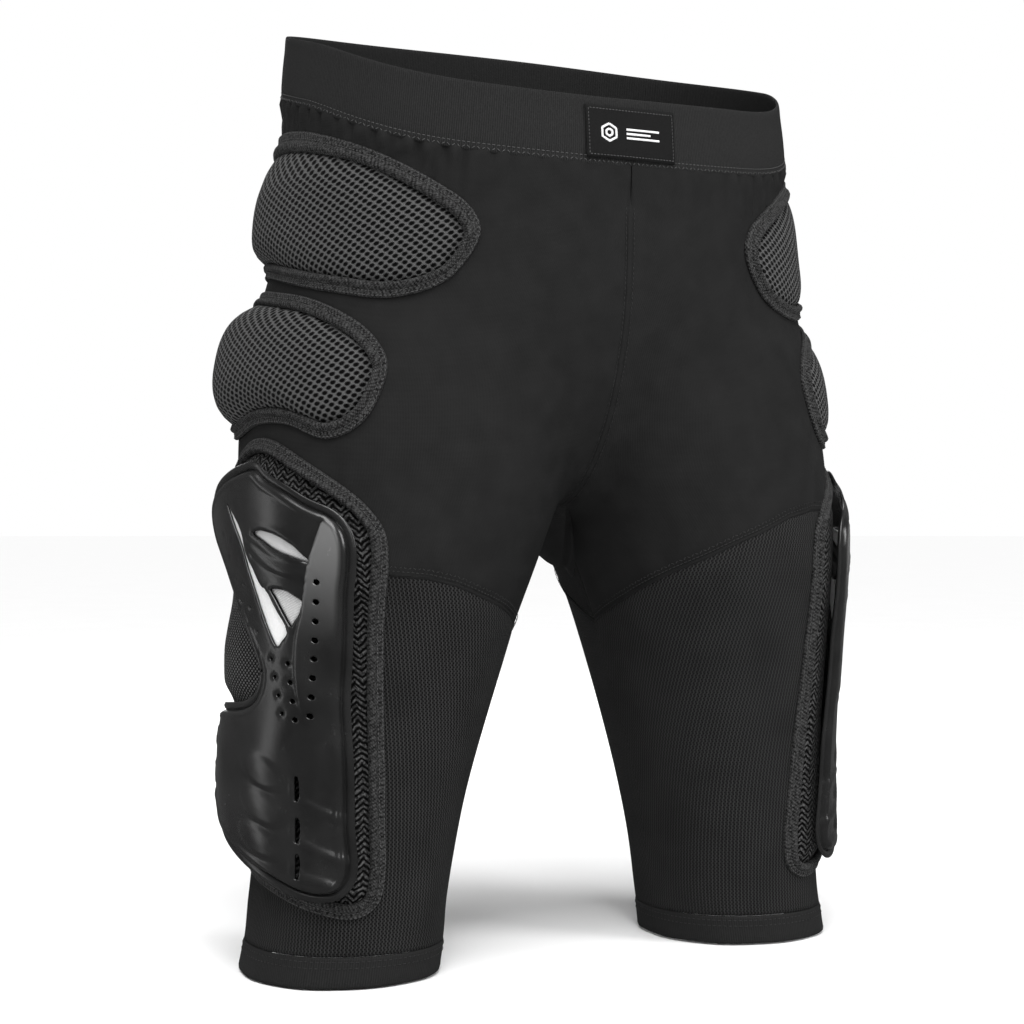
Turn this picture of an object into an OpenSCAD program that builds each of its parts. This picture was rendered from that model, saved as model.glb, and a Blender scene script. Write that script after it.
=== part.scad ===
// Padded impact shorts for skiing and snowboarding, as worn on a standing figure.
// Frame: origin at the middle of the waist opening, a little above the front waist edge.
// +Z is up, the front faces -Y, and the wearer's left is +X. Millimetres.

/* [Fabric] */
// Thickness of the stretch fabric and mesh panels
fabric_t = 1.2; // [0.8:0.1:1.4]
// Height of the elastic waistband
band_h = 40; // [30:1:45]
// Thickness of the elastic waistband
band_t = 2.2; // [1.5:0.1:3]
// How much higher the waist sits at the back than at the front
back_rise = 56; // [40:1:70]
// How far the waist edge dips below the origin at the middle of the front
front_dip = 11; // [0:1:14]
// Height from the origin down to the legs' hems
hem_z = 530; // [515:1:535]
// Height of the turned and stitched hem of each leg
hem_h = 18; // [12:1:25]
// Width of the woven waist label
label_w = 59; // [40:1:60]
// Height of the woven waist label
label_h = 31; // [20:1:36]

/* [Pads] */
// Width of the stitched binding around each pad
binding_w = 8; // [6:0.5:9]
// Height of the binding's cord above the fabric
binding_h = 4.5; // [3:0.5:6]
// Thickness of the spacer mesh that covers each pad
cover_t = 1.5; // [1:0.1:2]
// Thickness of the hip pad at the wearer's side
hip_pad_t = 15; // [9:0.5:18]
// Thickness of the side pad at the wearer's side
side_pad_t = 18; // [10:0.5:20]
// Thickness of the thigh pad's foam and mesh, under its hard shell
thigh_pad_t = 9; // [8:0.5:11]
// Thickness of the tailbone pad
tail_pad_t = 12; // [8:0.5:14]

/* [Hard shell] */
// Wall of the moulded thigh shell
shell_t = 2.2; // [1.8:0.1:3]
// Step from the shell's stitched flange up to its raised body
shell_step = 2.4; // [1.5:0.1:3]
// Radius of the large vent holes
vent_r = 2; // [1.2:0.1:2.4]
// Radius of the small vent holes
pin_vent_r = 1; // [0.7:0.1:1.2]

/* [Hidden] */
SIDES = ["right", "left"];
$fn = 32;

// Level cross-sections of the worn garment, one row per height. Each leg's half is a rounded
// lobe, and the two lobes melt together above the crotch. Columns: height, x of the lobe's
// centre, x of its outer side, x from which angles are measured, y of the centre, depth
// forwards, depth backwards, and how widely the two lobes melt together.
SECTIONS = [
    [   0,   0, 142,  66,  0, 100, 102, 60],
    [ -60,  10, 158,  74,  0, 104, 112, 60],
    [-120,  40, 175,  84,  0, 106, 122, 60],
    [-180,  74, 188,  92,  0, 106, 126, 60],
    [-230,  93, 192,  98, -3, 104, 118, 44],
    [-285, 105, 189, 106, -8,  97, 100, 18],
    [-340, 114, 187, 114, -9,  84,  86, 10],
    [-420, 125, 186, 125, -9,  70,  72, 10],
    [-500, 135, 193, 135, -9,  62,  64, 10],
    [-540, 141, 200, 141, -9,  60,  62, 10]];
// How square the lobes are: 2 is an ellipse
SQUARENESS = 2.15;

// The hips bend between two sloping planes that meet the crotch seam at x = 0
CREASE_TOP = -257;
CREASE_H = 100;
CREASE_SLOPE = 0.72;
// Half of the gap between neighbouring panels that are sewn edge to edge
SEAM_GAP = 0.4;
// Clearance between the fabric and what lies on it, and between the layers of a pad
LIFT = 2;
PLY_GAP = 0.6;
BAND_LIFT = 1.4;

FABRIC = [0.16, 0.16, 0.17];
MESH = [0.22, 0.22, 0.23];
FOAM = [0.32, 0.32, 0.34];
TRIM = [0.12, 0.12, 0.13];
SILVER = [0.80, 0.81, 0.82];
WHITE = [0.92, 0.92, 0.92];

// ---- the garment's surface ----

function gap_slope(i) = (SECTIONS[i + 1] - SECTIONS[i]) / (SECTIONS[i + 1][0] - SECTIONS[i][0]);
function knot_slope(i) =
    i == 0 ? gap_slope(0)
    : i == len(SECTIONS) - 1 ? gap_slope(i - 1)
    : (gap_slope(i - 1) + gap_slope(i)) / 2;
function gap_at(z, i = 0) =
    i >= len(SECTIONS) - 2 || z > SECTIONS[i + 1][0] ? i : gap_at(z, i + 1);

// The cross-section at height z, on a smooth curve through the rows of SECTIONS
function section_at(z) =
    let (i = gap_at(z), a = SECTIONS[i], b = SECTIONS[i + 1], h = b[0] - a[0], t = (z - a[0]) / h)
    (2 * t ^ 3 - 3 * t ^ 2 + 1) * a + (t ^ 3 - 2 * t ^ 2 + t) * h * knot_slope(i)
    + (3 * t ^ 2 - 2 * t ^ 3) * b + (t ^ 3 - t ^ 2) * h * knot_slope(i + 1);

// About how far outside one lobe of section s the point x, y lies; negative inside
function lobe(x, y, s) =
    let (rx = s[2] - s[1], ry = y < s[4] ? s[5] : s[6])
    ((abs((x - s[1]) / rx) ^ SQUARENESS + abs((y - s[4]) / ry) ^ SQUARENESS) ^ (1 / SQUARENESS) - 1)
    * mean_radius(s);
function mean_radius(s) = (s[2] - s[1] + (s[5] + s[6]) / 2) / 2;

// The same for both lobes, melted together where they are equally near
function outside(x, y, s) =
    let (a = lobe(x, y, s), b = lobe(-x, y, s), h = max(s[7] - abs(a - b), 0) / s[7])
    min(a, b) - h * h * s[7] / 4;

// Distance from the section's origin to the surface, at an angle: 0 outwards, 90 to the front.
// It stops at the middle of the body, where the other half begins.
function reach(angle, s) =
    find_reach(angle, s, 0, cos(angle) < -0.01 ? min(260, (SEAM_GAP - s[3]) / cos(angle)) : 260, 18);
function find_reach(angle, s, low, high, steps) =
    let (mid = (low + high) / 2)
    steps == 0 ? mid
    : outside(s[3] + mid * cos(angle), s[4] - mid * sin(angle), s) < 0
        ? find_reach(angle, s, mid, high, steps - 1)
        : find_reach(angle, s, low, mid, steps - 1);

// The depth y of the surface at a given x; facing is -1 for the front and 1 for the back
function depth(x, s, facing, low = 0, high = 160, steps = 18) =
    let (mid = (low + high) / 2)
    steps == 0 ? s[4] + facing * mid
    : outside(x, s[4] + facing * mid, s) < 0
        ? depth(x, s, facing, mid, high, steps - 1)
        : depth(x, s, facing, low, mid, steps - 1);

function unit(v) = v / norm(v);

// The outward direction of the surface at x, y, z
function outward(x, y, z) =
    let (s = section_at(z), e = 0.5, here = outside(x, y, s))
    unit([(outside(x + e, y, s) - here) / e, (outside(x, y + e, s) - here) / e,
          here - outside(x, y, section_at(z - 1))]);

// The waist rises towards the back and dips in front, so heights stretch a little near the top
RISE_DEPTH = 60;
DIP_START = 15;
DIP_REACH = 85;
function dip_share(y) =
    let (t = min(max((-y - DIP_START) / DIP_REACH, 0), 1)) t * t * (3 - 2 * t);
function rise(y) = back_rise * (y + 105) / 210 - front_dip * dip_share(y);
function waisted(p) =
    [p.x, p.y, p.z + rise(p.y) * min(max(p.z / RISE_DEPTH + 1, 0), 1)];
// The unstretched height of a point some way down from the waist edge
function below_waist(down, y) = -down / (1 + rise(y) / RISE_DEPTH);

// A point that stands off the surface by a distance, on the left half
function stand_off(x, y, z, off) = waisted([x, y, z] + off * outward(x, y, z));

// The same point from an angle, and the one for a side: 1 is left and -1 is right
function sided(p, side) = [side * p.x, p.y, p.z];
function skin(angle, z, off, side) =
    let (s = section_at(z), r = reach(angle, s))
    sided(stand_off(s[3] + r * cos(angle), s[4] - r * sin(angle), z, off), side);

// The same point from a distance u along the surface, forwards from the wearer's side
function turn(u, z) =
    let (s = section_at(z))
    u / ((s[2] - s[3] + (s[5] + s[6]) / 2) / 2) * 180 / PI;
function at_side(uz, off, side) = skin(turn(uz.x, uz.y), uz.y, off, side);

// A point on the front or back from its x and height, where both halves are one surface
function at_face(xz, off, facing) =
    let (s = section_at(xz.y), p = stand_off(abs(xz.x), depth(abs(xz.x), s, facing), xz.y, off))
    [xz.x < 0 ? -p.x : p.x, p.y, p.z];

// The angle of the centre seam, or of the inseam below the crotch
INSEAM_ANGLE = 179.7;
function seam_angle(z, facing) =
    let (s = section_at(z), y = depth(SEAM_GAP, s, facing))
    -facing * min(atan2(abs(y - s[4]), SEAM_GAP - s[3]), INSEAM_ANGLE);

// The underside near the crotch: the point of the surface below x, y
function crotch_z(x, y, low = -400, high = -200, steps = 18) =
    let (mid = (low + high) / 2)
    steps == 0 ? mid
    : outside(x, y, section_at(mid)) < 0
        ? crotch_z(x, y, low, mid, steps - 1)
        : crotch_z(x, y, mid, high, steps - 1);
function at_crotch(x, y, off) =
    let (p = stand_off(abs(x), y, crotch_z(abs(x), y), off))
    [x < 0 ? -p.x : p.x, p.y, p.z];

// ---- solids ----

// A closed solid through rings of points. With loop, the last ring joins the first. With two
// tips, each end closes on a point. Otherwise each end closes across the ring's two rows.
module loft(rings, side = 1, tips = [], loop = false) {
    m = len(rings);
    n = len(rings[0]);
    points = [for (ring = rings, p = ring) p];
    walls = [for (i = [0 : loop ? m - 1 : m - 2], j = [0 : n - 1])
        let (a = i * n, b = (i + 1) % m * n, k = (j + 1) % n)
        each [[a + j, b + j, b + k], [a + j, b + k, a + k]]];
    first = (m - 1) * n;
    fans = [for (j = [0 : n - 1])
        each [[m * n, j, (j + 1) % n], [m * n + 1, first + (j + 1) % n, first + j]]];
    strips = [for (j = [0 : n / 2 - 2])
        let (k = n - 1 - j)
        each [[j, j + 1, k - 1], [j, k - 1, k],
              [first + j, first + k - 1, first + j + 1], [first + j, first + k, first + k - 1]]];
    faces = concat(walls, loop ? [] : len(tips) == 2 ? fans : strips);
    polyhedron(concat(points, tips),
               side > 0 ? faces : [for (f = faces) [f[0], f[2], f[1]]], convexity = 8);
}

// A closed smooth outline through a few points, with steps points from each to the next
function smooth_outline(pts, steps = 4) =
    let (n = len(pts))
    [for (i = [0 : n - 1], k = [0 : steps - 1])
        let (t = k / steps, a = pts[(i + n - 1) % n], b = pts[i], c = pts[(i + 1) % n],
             d = pts[(i + 2) % n])
        b + t * (c - a) / 2 + t ^ 2 * (a - 2.5 * b + 2 * c - d / 2)
        + t ^ 3 * (1.5 * (b - c) + (d - a) / 2)];

// The same outline moved inwards; the points run anticlockwise with u to the right, z up
function inset(pts, w) =
    let (n = len(pts))
    [for (i = [0 : n - 1])
        let (t = unit(pts[(i + 1) % n] - pts[(i + n - 1) % n]))
        pts[i] + w * [-t.y, t.x]];
function shrunk(pts, centre, f) = [for (p = pts) centre + f * (p - centre)];

// ---- panels ----

// Height of the sloping plane at a point on the surface, down meaning below the top plane
function crease_z(x, down) = CREASE_TOP + CREASE_SLOPE * x - down;

// A sheet of fabric from one pair of rows to the next: rows are lists of [angle, height]
module panel(rows, side, facing) {
    loft([for (row = rows)
              concat([for (q = row) skin(q.x, q.y, 0, side)],
                     [for (i = [len(row) - 1 : -1 : 0]) skin(row[i].x, row[i].y, -fabric_t, side)])],
         -facing * side);
}

PANEL_COLUMNS = 10;
// Where the side seam runs, hidden under the pads, and half of the gap along it
SIDE_SEAM = -4;
SIDE_GAP = 0.25;

// Angles across a front (-1) or back (1) panel at one height, side seam to centre seam
function spread(z, facing, k) =
    let (from = SIDE_SEAM - facing * SIDE_GAP, to = seam_angle(z, facing))
    from + (to - from) * k / PANEL_COLUMNS;

// The height at which a column of a panel meets a sloping plane
function column_end(facing, k, down, z = -240, steps = 14) =
    steps == 0 ? z
    : let (s = section_at(z), angle = spread(z, facing, k),
           x = s[3] + reach(angle, s) * cos(angle))
      column_end(facing, k, down, (z + crease_z(max(x, 0), down)) / 2, steps - 1);

// Rows of a panel between two heights at each column
function column_rows(facing, tops, ends, steps) =
    [for (i = [0 : steps])
        [for (k = [0 : PANEL_COLUMNS])
            let (z = tops[k] + (ends[k] - tops[k]) * i / steps)
            [spread(z, facing, k), z]]];
function crease_line(facing, down, gap) =
    [for (k = [0 : PANEL_COLUMNS]) column_end(facing, k, down) + gap];

// The upper panel runs from inside the waistband down to the crease, which fills the bend
TUCK = 8;
function upper_rows(facing) =
    column_rows(facing,
                [for (k = [0 : PANEL_COLUMNS])
                    below_waist(band_h - TUCK, skin(spread(-30, facing, k), -30, 0, 1).y)],
                crease_line(facing, 0, SEAM_GAP), 8);
function crease_rows(facing) =
    column_rows(facing, crease_line(facing, 0, -SEAM_GAP),
                crease_line(facing, CREASE_H, 2 * SEAM_GAP), 5);

module front_panel(side) { color(FABRIC) panel(upper_rows(-1), side, -1); }
module back_panel(side) { color(FABRIC) panel(upper_rows(1), side, 1); }
module front_hip_crease(side) { color(FABRIC) panel(crease_rows(-1), side, -1); }
module back_hip_crease(side) { color(FABRIC) panel(crease_rows(1), side, 1); }

// A closed ring of fabric around one leg between two heights at each angle
TUBE_SIDES = 32;
function tube_ring(heights, off, side) =
    [for (k = [0 : TUBE_SIDES - 1]) skin(k * 360 / TUBE_SIDES - 180, heights[k], off, side)];
module leg_tube(tops, bottoms, low, high, side, steps) {
    mix = function (f) [for (k = [0 : TUBE_SIDES - 1]) tops[k] + (bottoms[k] - tops[k]) * f];
    loft(concat([for (i = [0 : steps]) tube_ring(mix(i / steps), high, side)],
                [for (i = [steps : -1 : 0]) tube_ring(mix(i / steps), low, side)]),
         side, loop = true);
}
function level(z) = [for (k = [1 : TUBE_SIDES]) z];
// The height at which one angle round the leg meets the crease's lower plane
function tube_top(angle, z = -300, steps = 14) =
    steps == 0 ? z
    : let (s = section_at(z), x = s[3] + reach(angle, s) * cos(angle))
      tube_top(angle, (z + crease_z(x, CREASE_H)) / 2, steps - 1);

module leg_mesh(side) {
    tops = [for (k = [0 : TUBE_SIDES - 1]) tube_top(k * 360 / TUBE_SIDES - 180) - SEAM_GAP];
    color(MESH) leg_tube(tops, level(hem_h - hem_z + SEAM_GAP), -fabric_t, 0, side, 7);
}
module hem(side) {
    color(TRIM) leg_tube(level(hem_h - hem_z), level(-hem_z), -fabric_t, 0.4, side, 1);
}

// The elastic waistband: one ring around both halves
module waistband() {
    steps = 24;
    spot = function (down, f, off, side)
        let (y = skin(band_angle(-30, f), -30, 0, 1).y, z = below_waist(down, y))
        skin(band_angle(z, f), z, off, side);
    ring = function (down, off) concat(
        [for (i = [0 : steps]) spot(down, i / steps, off, 1)],
        [for (i = [steps - 1 : -1 : 1]) spot(down, i / steps, off, -1)]);
    color(TRIM)
        loft([ring(0.5, BAND_LIFT + band_t), ring(band_h, BAND_LIFT + band_t),
              ring(band_h, BAND_LIFT), ring(0.5, BAND_LIFT)], -1, loop = true);
}
// From the front centre round the left side to the back centre
function band_angle(z, f) =
    let (s = section_at(z), front = atan2(-(depth(0, s, -1) - s[4]), -s[3]),
         back = -atan2(depth(0, s, 1) - s[4], -s[3]))
    front + (back - front) * f;

// The woven label, sewn flat on the front of the waistband
module waist_label() {
    base = BAND_LIFT + band_t + 0.6;
    xs = [for (k = [-6 : 6]) k * label_w / 12];
    row = function (z) concat([for (x = xs) at_face([x, z], base + 0.9, -1)],
                              [for (i = [12 : -1 : 0]) at_face([xs[i], z], base, -1)]);
    mid = band_h / 2 + 1;
    height = function (down) below_waist(down, at_face([0, -mid], 0, -1).y);
    color(WHITE) loft([row(height(mid - label_h / 2)), row(height(mid + label_h / 2))], -1);
}

// The gusset: a diamond under the crotch, with one corner down each inner thigh
module crotch_gusset() {
    front = -52;
    back = 50;
    half_w = 32;
    across = [-1, -0.75, -0.5, -0.25, 0, 0.25, 0.5, 0.75, 1];
    row = function (f)
        let (y = front + (back - front) * (f + 1) / 2, w = half_w * (1.05 - abs(f)))
        concat([for (a = across) at_crotch(a * w, y, LIFT + fabric_t)],
               [for (i = [8 : -1 : 0]) at_crotch(across[i] * w, y, LIFT)]);
    color(FABRIC) loft([for (i = [-6 : 6]) row(i / 6)], -1);
}

// ---- pads ----

// Outlines in millimetres: along the surface forwards from the wearer's side, then height
HIP_OUTLINE = [[148, -100], [138, -82], [112, -66], [72, -48], [30, -40], [-20, -38], [-66, -43],
               [-98, -60], [-108, -82], [-98, -102], [-72, -112], [-35, -113], [10, -120],
               [60, -129], [104, -134], [136, -124]];
SIDE_OUTLINE = [[111, -178], [104, -161], [84, -146], [50, -133], [10, -126], [-36, -122],
                [-76, -129], [-98, -148], [-102, -174], [-91, -196], [-64, -210], [-30, -211],
                [8, -205], [44, -206], [76, -215], [100, -204]];
THIGH_OUTLINE = [[106, -276], [100, -256], [84, -241], [58, -226], [32, -215], [6, -213],
                 [-22, -221], [-50, -236], [-68, -258], [-72, -295], [-72, -345], [-70, -395],
                 [-64, -432], [-48, -458], [-20, -470], [20, -478], [50, -486], [74, -490],
                 [88, -481], [91, -460], [90, -430], [92, -376], [97, -325]];
TAIL_OUTLINE = [[0, -60], [-26, -64], [-42, -84], [-44, -112], [-34, -142], [-16, -166],
                [0, -172], [16, -166], [34, -142], [44, -112], [42, -84], [26, -64]];

// Thicker towards the back of the hip, thinner towards the front
function bulge(u, z) = 0.55 + 0.85 * exp(-((turn(u, z) + 32) / 40) ^ 2);

// Rings of a pad from its edge to its middle: [outline, share of the full thickness]
function pad_rings(edge, centre, steps) =
    [for (i = [0 : len(steps) - 1])
        [shrunk(edge, centre, steps[i][0]), steps[i][1]]];

// Foam: flat underneath and domed on top. Cover: a thin shell over the foam.
module foam_solid(rings, centre, place, height, side) {
    top = function (p, f) place(p, LIFT + 1 + (height(p) - 1) * f, side);
    loft(concat([for (i = [len(rings) - 1 : -1 : 0]) [for (p = rings[i][0]) place(p, LIFT, side)]],
                [for (ring = rings) [for (p = ring[0]) top(p, ring[1])]]),
         -side, tips = [place(centre, LIFT, side), top(centre, 1)]);
}
module cover_solid(edge, rings, centre, place, height, side) {
    top = function (p, f, ply) place(p, LIFT + 1 + (height(p) - 1) * f + ply, side);
    plys = [PLY_GAP, PLY_GAP + cover_t];
    loft(concat([for (i = [len(rings) - 1 : -1 : 0])
                     [for (p = rings[i][0]) top(p, rings[i][1], plys[1])]],
                [[for (p = edge) place(p, LIFT + cover_t, side)],
                 [for (p = edge) place(p, LIFT, side)]],
                [for (ring = rings) [for (p = ring[0]) top(p, ring[1], plys[0])]]),
         side, tips = [top(centre, 1, plys[1]), top(centre, 1, plys[0])]);
}
module binding_solid(outline, place, side) {
    inner = binding_w - PLY_GAP;
    profile = [[0, 0], [0, binding_h * 0.55], [binding_w / 2, binding_h], [inner, binding_h * 0.8],
               [inner, 0]];
    loft([for (q = profile) [for (p = inset(outline, q.x)) place(p, LIFT + q.y, side)]],
         -side, loop = true);
}

// The layers of one pad. plateau is true where the foam is flat on top, to carry a shell.
DOME = [[0.95, 0], [0.78, 0.6], [0.52, 0.92], [0.25, 1]];
PLATEAU = [[0.95, 0], [0.88, 1], [0.72, 1], [0.55, 1], [0.37, 1], [0.18, 1]];
module pad_layer(layer, points, centre, steps, place, height, side) {
    outline = smooth_outline(points, 2);
    edge = inset(outline, binding_w);
    rings = pad_rings(edge, centre, steps);
    if (layer == "foam") color(FOAM) foam_solid(rings, centre, place, height, side);
    if (layer == "cover") color(MESH) cover_solid(edge, rings, centre, place, height, side);
    if (layer == "binding") color(TRIM) binding_solid(outline, place, side);
}

on_side = function (p, off, side) at_side(p, off, side);
on_back = function (p, off, side) at_face(p, off, 1);

module hip_pad(layer, side) {
    height = function (p) (hip_pad_t - LIFT - cover_t) * bulge(p.x, p.y);
    pad_layer(layer, HIP_OUTLINE, [20, -86], DOME, on_side, height, side);
}
module side_pad(layer, side) {
    height = function (p) (side_pad_t - LIFT - cover_t) * bulge(p.x, p.y);
    pad_layer(layer, SIDE_OUTLINE, [2, -168], DOME, on_side, height, side);
}
module tailbone_pad(layer) {
    height = function (p) tail_pad_t - LIFT - cover_t;
    pad_layer(layer, TAIL_OUTLINE, [0, -112], DOME, on_back, height, 1);
}

// The lower half of the thigh pad stands out further behind
function belly(p) = 5 * exp(-((p.y + 412) / 48) ^ 2) * exp(-((p.x + 30) / 45) ^ 2);
function thigh_height(p) = (thigh_pad_t - LIFT - cover_t) * bulge(p.x, p.y) + belly(p);
module thigh_pad(layer, side) {
    height = function (p) thigh_height(p);
    pad_layer(layer, THIGH_OUTLINE, [18, -352], PLATEAU, on_side, height, side);
}

// ---- hard shell ----

// Rear and front edges of the shell at each height, from its peak down: a mesh window is cut
// into the rear edge half way down
SHELL_ROWS = [[-231, 16, 40], [-236, -6, 50], [-242, -26, 58], [-250, -38, 70], [-257, -42, 84],
              [-264, -40, 89], [-275, -32, 91], [-285, -24, 89], [-303, -8, 86], [-321, 6, 83],
              [-335, 16, 81], [-346, 23, 79], [-354, 22, 78], [-362, 16, 77], [-367, 2, 76],
              [-370, -20, 76], [-373, -38, 76], [-378, -44, 75], [-390, -46, 75], [-405, -46, 74],
              [-420, -44, 74], [-434, -38, 74], [-445, -28, 74], [-454, -12, 75], [-462, 8, 75],
              [-469, 28, 74], [-474, 46, 71], [-477, 58, 66]];
SHELL_COLUMNS = [0, 0.03, 0.06, 0.1, 0.18, 0.3, 0.42, 0.54, 0.66, 0.76, 0.84, 0.9, 0.94, 0.97, 1];
// Width of the stitched flange along the shell's edge
FLANGE_W = 5;

function shell_base(p) = LIFT + thigh_height(p) + cover_t + 2 * PLY_GAP + 0.4;
// 0 on the flange, 1 on the raised body, from the distance to the nearest edge
function raised_share(p, row) =
    let (edge = min(p.x - row[1], row[2] - p.x, -226 - p.y, p.y + 480))
    min(max((edge - FLANGE_W) / 2, 0), 1);
module shell_blank(side) {
    spot = function (row, t) [row[1] + (row[2] - row[1]) * t, row[0]];
    off = function (p, row) shell_base(p) + shell_step * raised_share(p, row);
    loft([for (row = SHELL_ROWS)
              concat([for (t = SHELL_COLUMNS)
                          let (p = spot(row, t)) at_side(p, off(p, row) + shell_t, side)],
                     [for (i = [len(SHELL_COLUMNS) - 1 : -1 : 0])
                          let (p = spot(row, SHELL_COLUMNS[i])) at_side(p, off(p, row), side)])],
         side);
}

// Puts its children on the surface, x along it forwards, y up and z outwards
module on_surface(p, side) {
    q = at_side(p, 0, side);
    n = unit(at_side(p, 10, side) - q);
    up = unit(at_side(p + [0, 2], 0, side) - q);
    along = cross(up, n);
    multmatrix([[along.x, up.x, n.x, q.x], [along.y, up.y, n.y, q.y], [along.z, up.z, n.z, q.z]])
        children();
}

// Rows of vent holes: first centre, last centre, how many, radius
VENT_ROWS = [
    [[70, -295], [58, -371], 8, vent_r],
    [[47, -342], [49, -374], 4, vent_r],
    [[35, -340], [41, -371], 4, vent_r * 0.8],
    [[24, -337], [24, -348], 2, pin_vent_r],
    [[-11, -268], [14, -322], 5, pin_vent_r],
    [[1, -271], [24, -325], 5, pin_vent_r]];
module vents(side) {
    for (row = VENT_ROWS, k = [0 : row[2] - 1])
        on_surface(row[0] + (row[1] - row[0]) * k / (row[2] - 1), side)
            cylinder(r = row[3], h = 40);
}

// The three windows over the silver insert, drawn about the middle of the V
WINDOW_AT = [34, -290];
BLADE = [[-37, 40], [-19, 24], [-3, -8], [1, -10], [15, -33], [5, -43], [-10, -12], [-23, 18]];
LENS = [[-8, 22], [4, 24], [20, 18], [29, 11], [34, 5], [23, 7], [9, 12]];
WEDGE = [[4, -10], [10, -9], [19, -11], [26, -16], [20, -27], [17, -30]];
module windows(side) {
    on_surface(WINDOW_AT, side)
        for (shape = [BLADE, LENS, WEDGE])
            linear_extrude(40) polygon([for (p = shape) [-side * p.x, p.y]]);
}

// Three louvre slots in the lower front
SLOTS = [[48, -414], [48, -438], [48, -459]];
module louvres(side) {
    for (p = SLOTS)
        on_surface(p, side) translate([-1.2, -8, 0]) cube([2.4, 16, 40]);
}

module thigh_shell(side) {
    color(TRIM) difference() {
        shell_blank(side);
        vents(side);
        windows(side);
        louvres(side);
    }
}

// The silver reflective insert, a thin plate between the cover and the shell
INSERT_COLUMNS = 8;
module shell_insert(side) {
    rows = [[-247, -6, 2], [-255, -2, 34], [-263, 2, 72], [-290, 12, 72], [-316, 24, 64],
            [-336, 32, 48]];
    spot = function (row, k) [row[1] + (row[2] - row[1]) * k / INSERT_COLUMNS, row[0]];
    color(SILVER)
        loft([for (row = rows)
                  concat([for (k = [0 : INSERT_COLUMNS])
                              let (p = spot(row, k)) at_side(p, shell_base(p) + shell_step - 0.4, side)],
                         [for (k = [INSERT_COLUMNS : -1 : 0])
                              let (p = spot(row, k)) at_side(p, shell_base(p) + shell_step - 1.2, side)])],
             side);
}

// ---- nodes ----

waistband();
waist_label();
crotch_gusset();
tailbone_pad("foam");  // tailbone_pad_foam
tailbone_pad("cover");  // tailbone_pad_cover
tailbone_pad("binding");  // tailbone_pad_binding
front_panel(-1);  // front_panel_right
front_panel(1);  // front_panel_left
back_panel(-1);  // back_panel_right
back_panel(1);  // back_panel_left
front_hip_crease(-1);  // front_hip_crease_right
front_hip_crease(1);  // front_hip_crease_left
back_hip_crease(-1);  // back_hip_crease_right
back_hip_crease(1);  // back_hip_crease_left
leg_mesh(-1);  // leg_mesh_right
leg_mesh(1);  // leg_mesh_left
hem(-1);  // hem_right
hem(1);  // hem_left
hip_pad("foam", -1);  // hip_pad_foam_right
hip_pad("foam", 1);  // hip_pad_foam_left
hip_pad("cover", -1);  // hip_pad_cover_right
hip_pad("cover", 1);  // hip_pad_cover_left
hip_pad("binding", -1);  // hip_pad_binding_right
hip_pad("binding", 1);  // hip_pad_binding_left
side_pad("foam", -1);  // side_pad_foam_right
side_pad("foam", 1);  // side_pad_foam_left
side_pad("cover", -1);  // side_pad_cover_right
side_pad("cover", 1);  // side_pad_cover_left
side_pad("binding", -1);  // side_pad_binding_right
side_pad("binding", 1);  // side_pad_binding_left
thigh_pad("foam", -1);  // thigh_pad_foam_right
thigh_pad("foam", 1);  // thigh_pad_foam_left
thigh_pad("cover", -1);  // thigh_pad_cover_right
thigh_pad("cover", 1);  // thigh_pad_cover_left
thigh_pad("binding", -1);  // thigh_pad_binding_right
thigh_pad("binding", 1);  // thigh_pad_binding_left
thigh_shell(-1);  // thigh_shell_right
thigh_shell(1);  // thigh_shell_left
shell_insert(-1);  // shell_insert_right
shell_insert(1);  // shell_insert_left
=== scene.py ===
import math

import bmesh
import bpy
import numpy as np
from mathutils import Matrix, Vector
from mathutils.geometry import delaunay_2d_cdt


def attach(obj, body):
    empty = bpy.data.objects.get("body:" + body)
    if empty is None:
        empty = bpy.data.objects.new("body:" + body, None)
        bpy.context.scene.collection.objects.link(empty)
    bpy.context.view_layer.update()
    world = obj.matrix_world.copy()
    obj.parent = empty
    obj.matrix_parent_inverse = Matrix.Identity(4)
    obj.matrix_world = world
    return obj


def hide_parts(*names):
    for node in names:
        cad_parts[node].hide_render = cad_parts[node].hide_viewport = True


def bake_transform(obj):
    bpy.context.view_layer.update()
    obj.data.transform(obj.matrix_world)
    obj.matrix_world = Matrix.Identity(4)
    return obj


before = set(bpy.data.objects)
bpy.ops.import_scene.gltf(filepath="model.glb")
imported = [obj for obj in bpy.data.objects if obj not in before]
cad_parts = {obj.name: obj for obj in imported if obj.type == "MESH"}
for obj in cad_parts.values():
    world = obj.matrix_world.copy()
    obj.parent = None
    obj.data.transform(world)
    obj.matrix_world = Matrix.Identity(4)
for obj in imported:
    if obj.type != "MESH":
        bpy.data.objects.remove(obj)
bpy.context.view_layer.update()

# ---- the garment's surface, in millimetres, as the CAD model has it ----

# Rows from the waist down: height, centre of a thigh, side, where angles turn, depth of the
# middle, front and back half-depths, how softly the two halves melt together
SECTIONS = np.array([
    [0, 0, 142, 66, 0, 100, 102, 60],
    [-60, 10, 158, 74, 0, 104, 112, 60],
    [-120, 40, 175, 84, 0, 106, 122, 60],
    [-180, 74, 188, 92, 0, 106, 126, 60],
    [-230, 93, 192, 98, -3, 104, 118, 44],
    [-285, 105, 189, 106, -8, 97, 100, 18],
    [-340, 114, 187, 114, -9, 84, 86, 10],
    [-420, 125, 186, 125, -9, 70, 72, 10],
    [-500, 135, 193, 135, -9, 62, 64, 10],
    [-540, 141, 200, 141, -9, 60, 62, 10]], float)
SQUARENESS = 2.15
SEAM_GAP = 0.4
BACK_RISE = 56
RISE_DEPTH = 60
FRONT_DIP = 11
DIP_START = 15
DIP_REACH = 85
BAND_H = 40
HEM_Z = -530
HEM_H = 18
LIFT = 2
COVER_T = 1.5
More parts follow.
